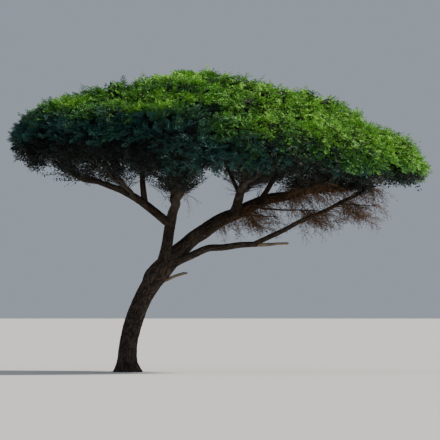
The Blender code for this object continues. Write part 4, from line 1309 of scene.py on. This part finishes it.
class ACACIA_OT_twigs(bpy.types.Operator):
    """Twigs of the green masses, from the ribs at each hub to the thin twigs that carry the leaves."""

    bl_idname = "acacia.twigs"
    bl_label = "Twigs"

    def execute(self, context):
        bark, foliage = context.scene.acacia_bark, context.scene.acacia_foliage
        crown = grown_crown()
        nodes = [pad.name for pad in crown_pads()]
        # Young twig bark is smooth, brown and dull, and at 6 to 60 mm thick too thin for a pattern to show
        wood = new_material("twig_bark", tuple(bark.twig), TWIG_ROUGHNESS)[0]
        ranks = zip(crown, (RIBS, BRANCHLETS, SPRAYS, INNER_SPRAYS))
        parts = [tubes(paths, rank.radii, rank.sides) for paths, rank in ranks]
        parts.append(tubes(np.concatenate(limb_growth()), SHOOT_RADII, SHOOT_SIDES))
        show("crown_twigs", joined(parts), wood, nodes)
        sunny, *shaded = (ends[:2] for ends in green_twigs(foliage))
        for name, pairs in (("sunny_twigs", [sunny]), ("shaded_twigs", [*shaded, bare_twigs()])):
            show(name, joined([spikes(*pair, TWIG_RADIUS) for pair in pairs]), wood, nodes)
        return {"FINISHED"}


class ACACIA_OT_leaves(bpy.types.Operator):
    """Leaves of the green masses, in plain tints of painted light and shade that are dealt out by spray."""

    bl_idname = "acacia.leaves"
    bl_label = "Leaves"

    def execute(self, context):
        foliage = context.scene.acacia_foliage
        (starts, ends, spray), shoots, inner = green_twigs(foliage)
        tints = painted_light_tints(grown_crown())[spray]
        # Painted shade: the darkest colour, for the lowest sprays and for the leaves of the shoots and inner
        # sprays, inside and under the crown
        under = leaf_material("under_leaves", foliage.under)
        groups = []
        for k, tint in enumerate((*LIT_TO_SHADED_TINTS, "low")):
            material = leaf_material(f"{tint}_leaves", getattr(foliage, tint)) if k < DARKEST else under
            groups.append((tint, (starts[tints == k], ends[tints == k]), foliage.leaves, 1.0, material))
        groups.append(("under", shoots[:2], foliage.inner_leaves, UNDER_SIZE, under))
        groups.append(("inner", inner[:2], foliage.inner_leaves, INNER_SIZE, under))
        rng = np.random.default_rng(LEAF_SEED)
        nodes = [pad.name for pad in crown_pads()]
        for name, (starts, ends), per_twig, larger, material in groups:
            parts = math.ceil(len(starts) * per_twig * 2 / MOST_TRIANGLES)
            for n, part in enumerate(np.array_split(np.arange(len(starts)), parts)):
                size = (foliage.leaf_length * larger, foliage.leaf_width)
                blades = leaf_blades(starts[part], ends[part], per_twig, *size, rng)
                show(f"leaves_{name}_{n + 1}", blades, material, nodes, smooth=False)
        return {"FINISHED"}


class ACACIA_OT_dry_twigs(bpy.types.Operator):
    """Dead twigs that hang under the right-hand boughs, dull and brown, with a few withered leaves."""

    bl_idname = "acacia.dry_twigs"
    bl_label = "Dry twigs"

    def execute(self, context):
        foliage = context.scene.acacia_foliage
        rng = np.random.default_rng(DRY_SEED)
        plans = [(grown_limbs()[name], *stretch) for name, *stretch in DRY_SHOOTS]
        paths = [dry_branchlets(pad, rng) for pad in dry_pads()]
        paths = np.concatenate([*paths, limb_shoots(plans, HANGING_SHOOTS, rng)])
        twigs = side_twigs(paths, DRY_TWIGS, rng)[:2]
        fine = finer_twigs(twigs, DRY_FINE_TWIGS, rng)
        nodes = [pad.name for pad in dry_pads()]
        for k, (shade, colour) in enumerate((("brown", foliage.dry), ("dark", foliage.dry_dark))):
            wood = leaf_material(f"dry_twigs_{shade}", colour, DRY_PATCH, DRY_ROUGHNESS)
            parts = [tubes(paths[k::2], DRY_RADII, DRY_SIDES)]
            for (starts, ends), radius in ((twigs, DRY_TWIG_RADIUS), (fine, DRY_FINE_RADIUS)):
                parts.append(spikes(starts[k::2], ends[k::2], radius))
            show(f"dry_twigs_{shade}", joined(parts), wood, nodes)
        blades = leaf_blades(*(end[::2] for end in fine), *DRY_LEAF, rng)
        show("dry_leaves", blades, wood, nodes, smooth=False)
        return {"FINISHED"}


class ACACIA_OT_stage(bpy.types.Operator):
    """Pale floor, soft light from the upper right, and a camera far off at eye level."""

    bl_idname = "acacia.stage"
    bl_label = "Stage"

    def execute(self, context):
        stage = context.scene.acacia_stage
        angle = math.tau * np.arange(FLOOR_SIDES) / FLOOR_SIDES
        height = np.full(FLOOR_SIDES, FLOOR_HEIGHT)
        rim = np.column_stack([FLOOR_RADIUS * np.cos(angle), FLOOR_RADIUS * np.sin(angle), height])
        floor = add_object("floor", make_mesh("floor", rim, [np.arange(FLOOR_SIDES)[None]], smooth=False))
        # Matt painted concrete: even, pale and without gloss
        floor.data.materials.append(new_material("pale_floor", tuple(stage.floor), FLOOR_ROUGHNESS)[0])

        world = bpy.data.worlds.new("soft_light")
        world.use_nodes = True
        light = {"Color": tuple(stage.sky), "Strength": stage.sky_strength}
        set_inputs(world.node_tree, world.node_tree.nodes["Background"], light)
        context.scene.world = world
        for name, direction, share, spread, colour in SUNS:
            sun = bpy.data.lights.new(name, "SUN")
            sun.energy = stage.key_strength * share
            sun.angle = math.radians(spread)
            sun.color = linear(colour)[:3]
            add_object(name, sun).rotation_euler = Vector(direction).to_track_quat("Z", "Y").to_euler()

        lens = bpy.data.cameras.new("camera")
        lens.lens = LENS
        lens.sensor_width = SENSOR
        lens.clip_end = SEES_TO
        camera = add_object("camera", lens)
        camera.location = EYE
        camera.rotation_euler = (Vector(AIM) - Vector(EYE)).to_track_quat("-Z", "Y").to_euler()
        context.scene.camera = camera
        return {"FINISHED"}


class ACACIA_PT_tree(bpy.types.Panel):
    """Lists the pieces and their settings."""

    bl_label = "Acacia"
    bl_idname = "ACACIA_PT_tree"
    bl_space_type = "VIEW_3D"
    bl_region_type = "UI"
    bl_category = "Acacia"

    def draw(self, context):
        for operator in OPERATORS:
            self.layout.operator(operator.bl_idname)
        for group in GROUPS:
            box = self.layout.box()
            for name in GROUPS[group].__annotations__:
                box.prop(getattr(context.scene, group), name)


OPERATORS = (
    ACACIA_OT_trunk,
    ACACIA_OT_boughs,
    ACACIA_OT_deadwood,
    ACACIA_OT_twigs,
    ACACIA_OT_leaves,
    ACACIA_OT_dry_twigs,
    ACACIA_OT_stage,
)
GROUPS = {"acacia_bark": AcaciaBark, "acacia_foliage": AcaciaFoliage, "acacia_stage": AcaciaStage}
CLASSES = (*GROUPS.values(), *OPERATORS, ACACIA_PT_tree)


def register():
    """Registers the classes and hangs the settings on the scene."""
    for cls in CLASSES:
        bpy.utils.register_class(cls)
    for name, group in GROUPS.items():
        setattr(bpy.types.Scene, name, PointerProperty(type=group))


def unregister():
    """Takes the settings off the scene and the classes out."""
    for name in GROUPS:
        delattr(bpy.types.Scene, name)
    for cls in reversed(CLASSES):
        bpy.utils.unregister_class(cls)


def main():
    """Grows the tree piece by piece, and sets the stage."""
    register()
    bpy.ops.acacia.trunk()
    bpy.ops.acacia.boughs()
    bpy.ops.acacia.deadwood()
    bpy.ops.acacia.twigs()
    bpy.ops.acacia.leaves()
    bpy.ops.acacia.dry_twigs()
    bpy.ops.acacia.stage()


if __name__ == "__main__":
    main()
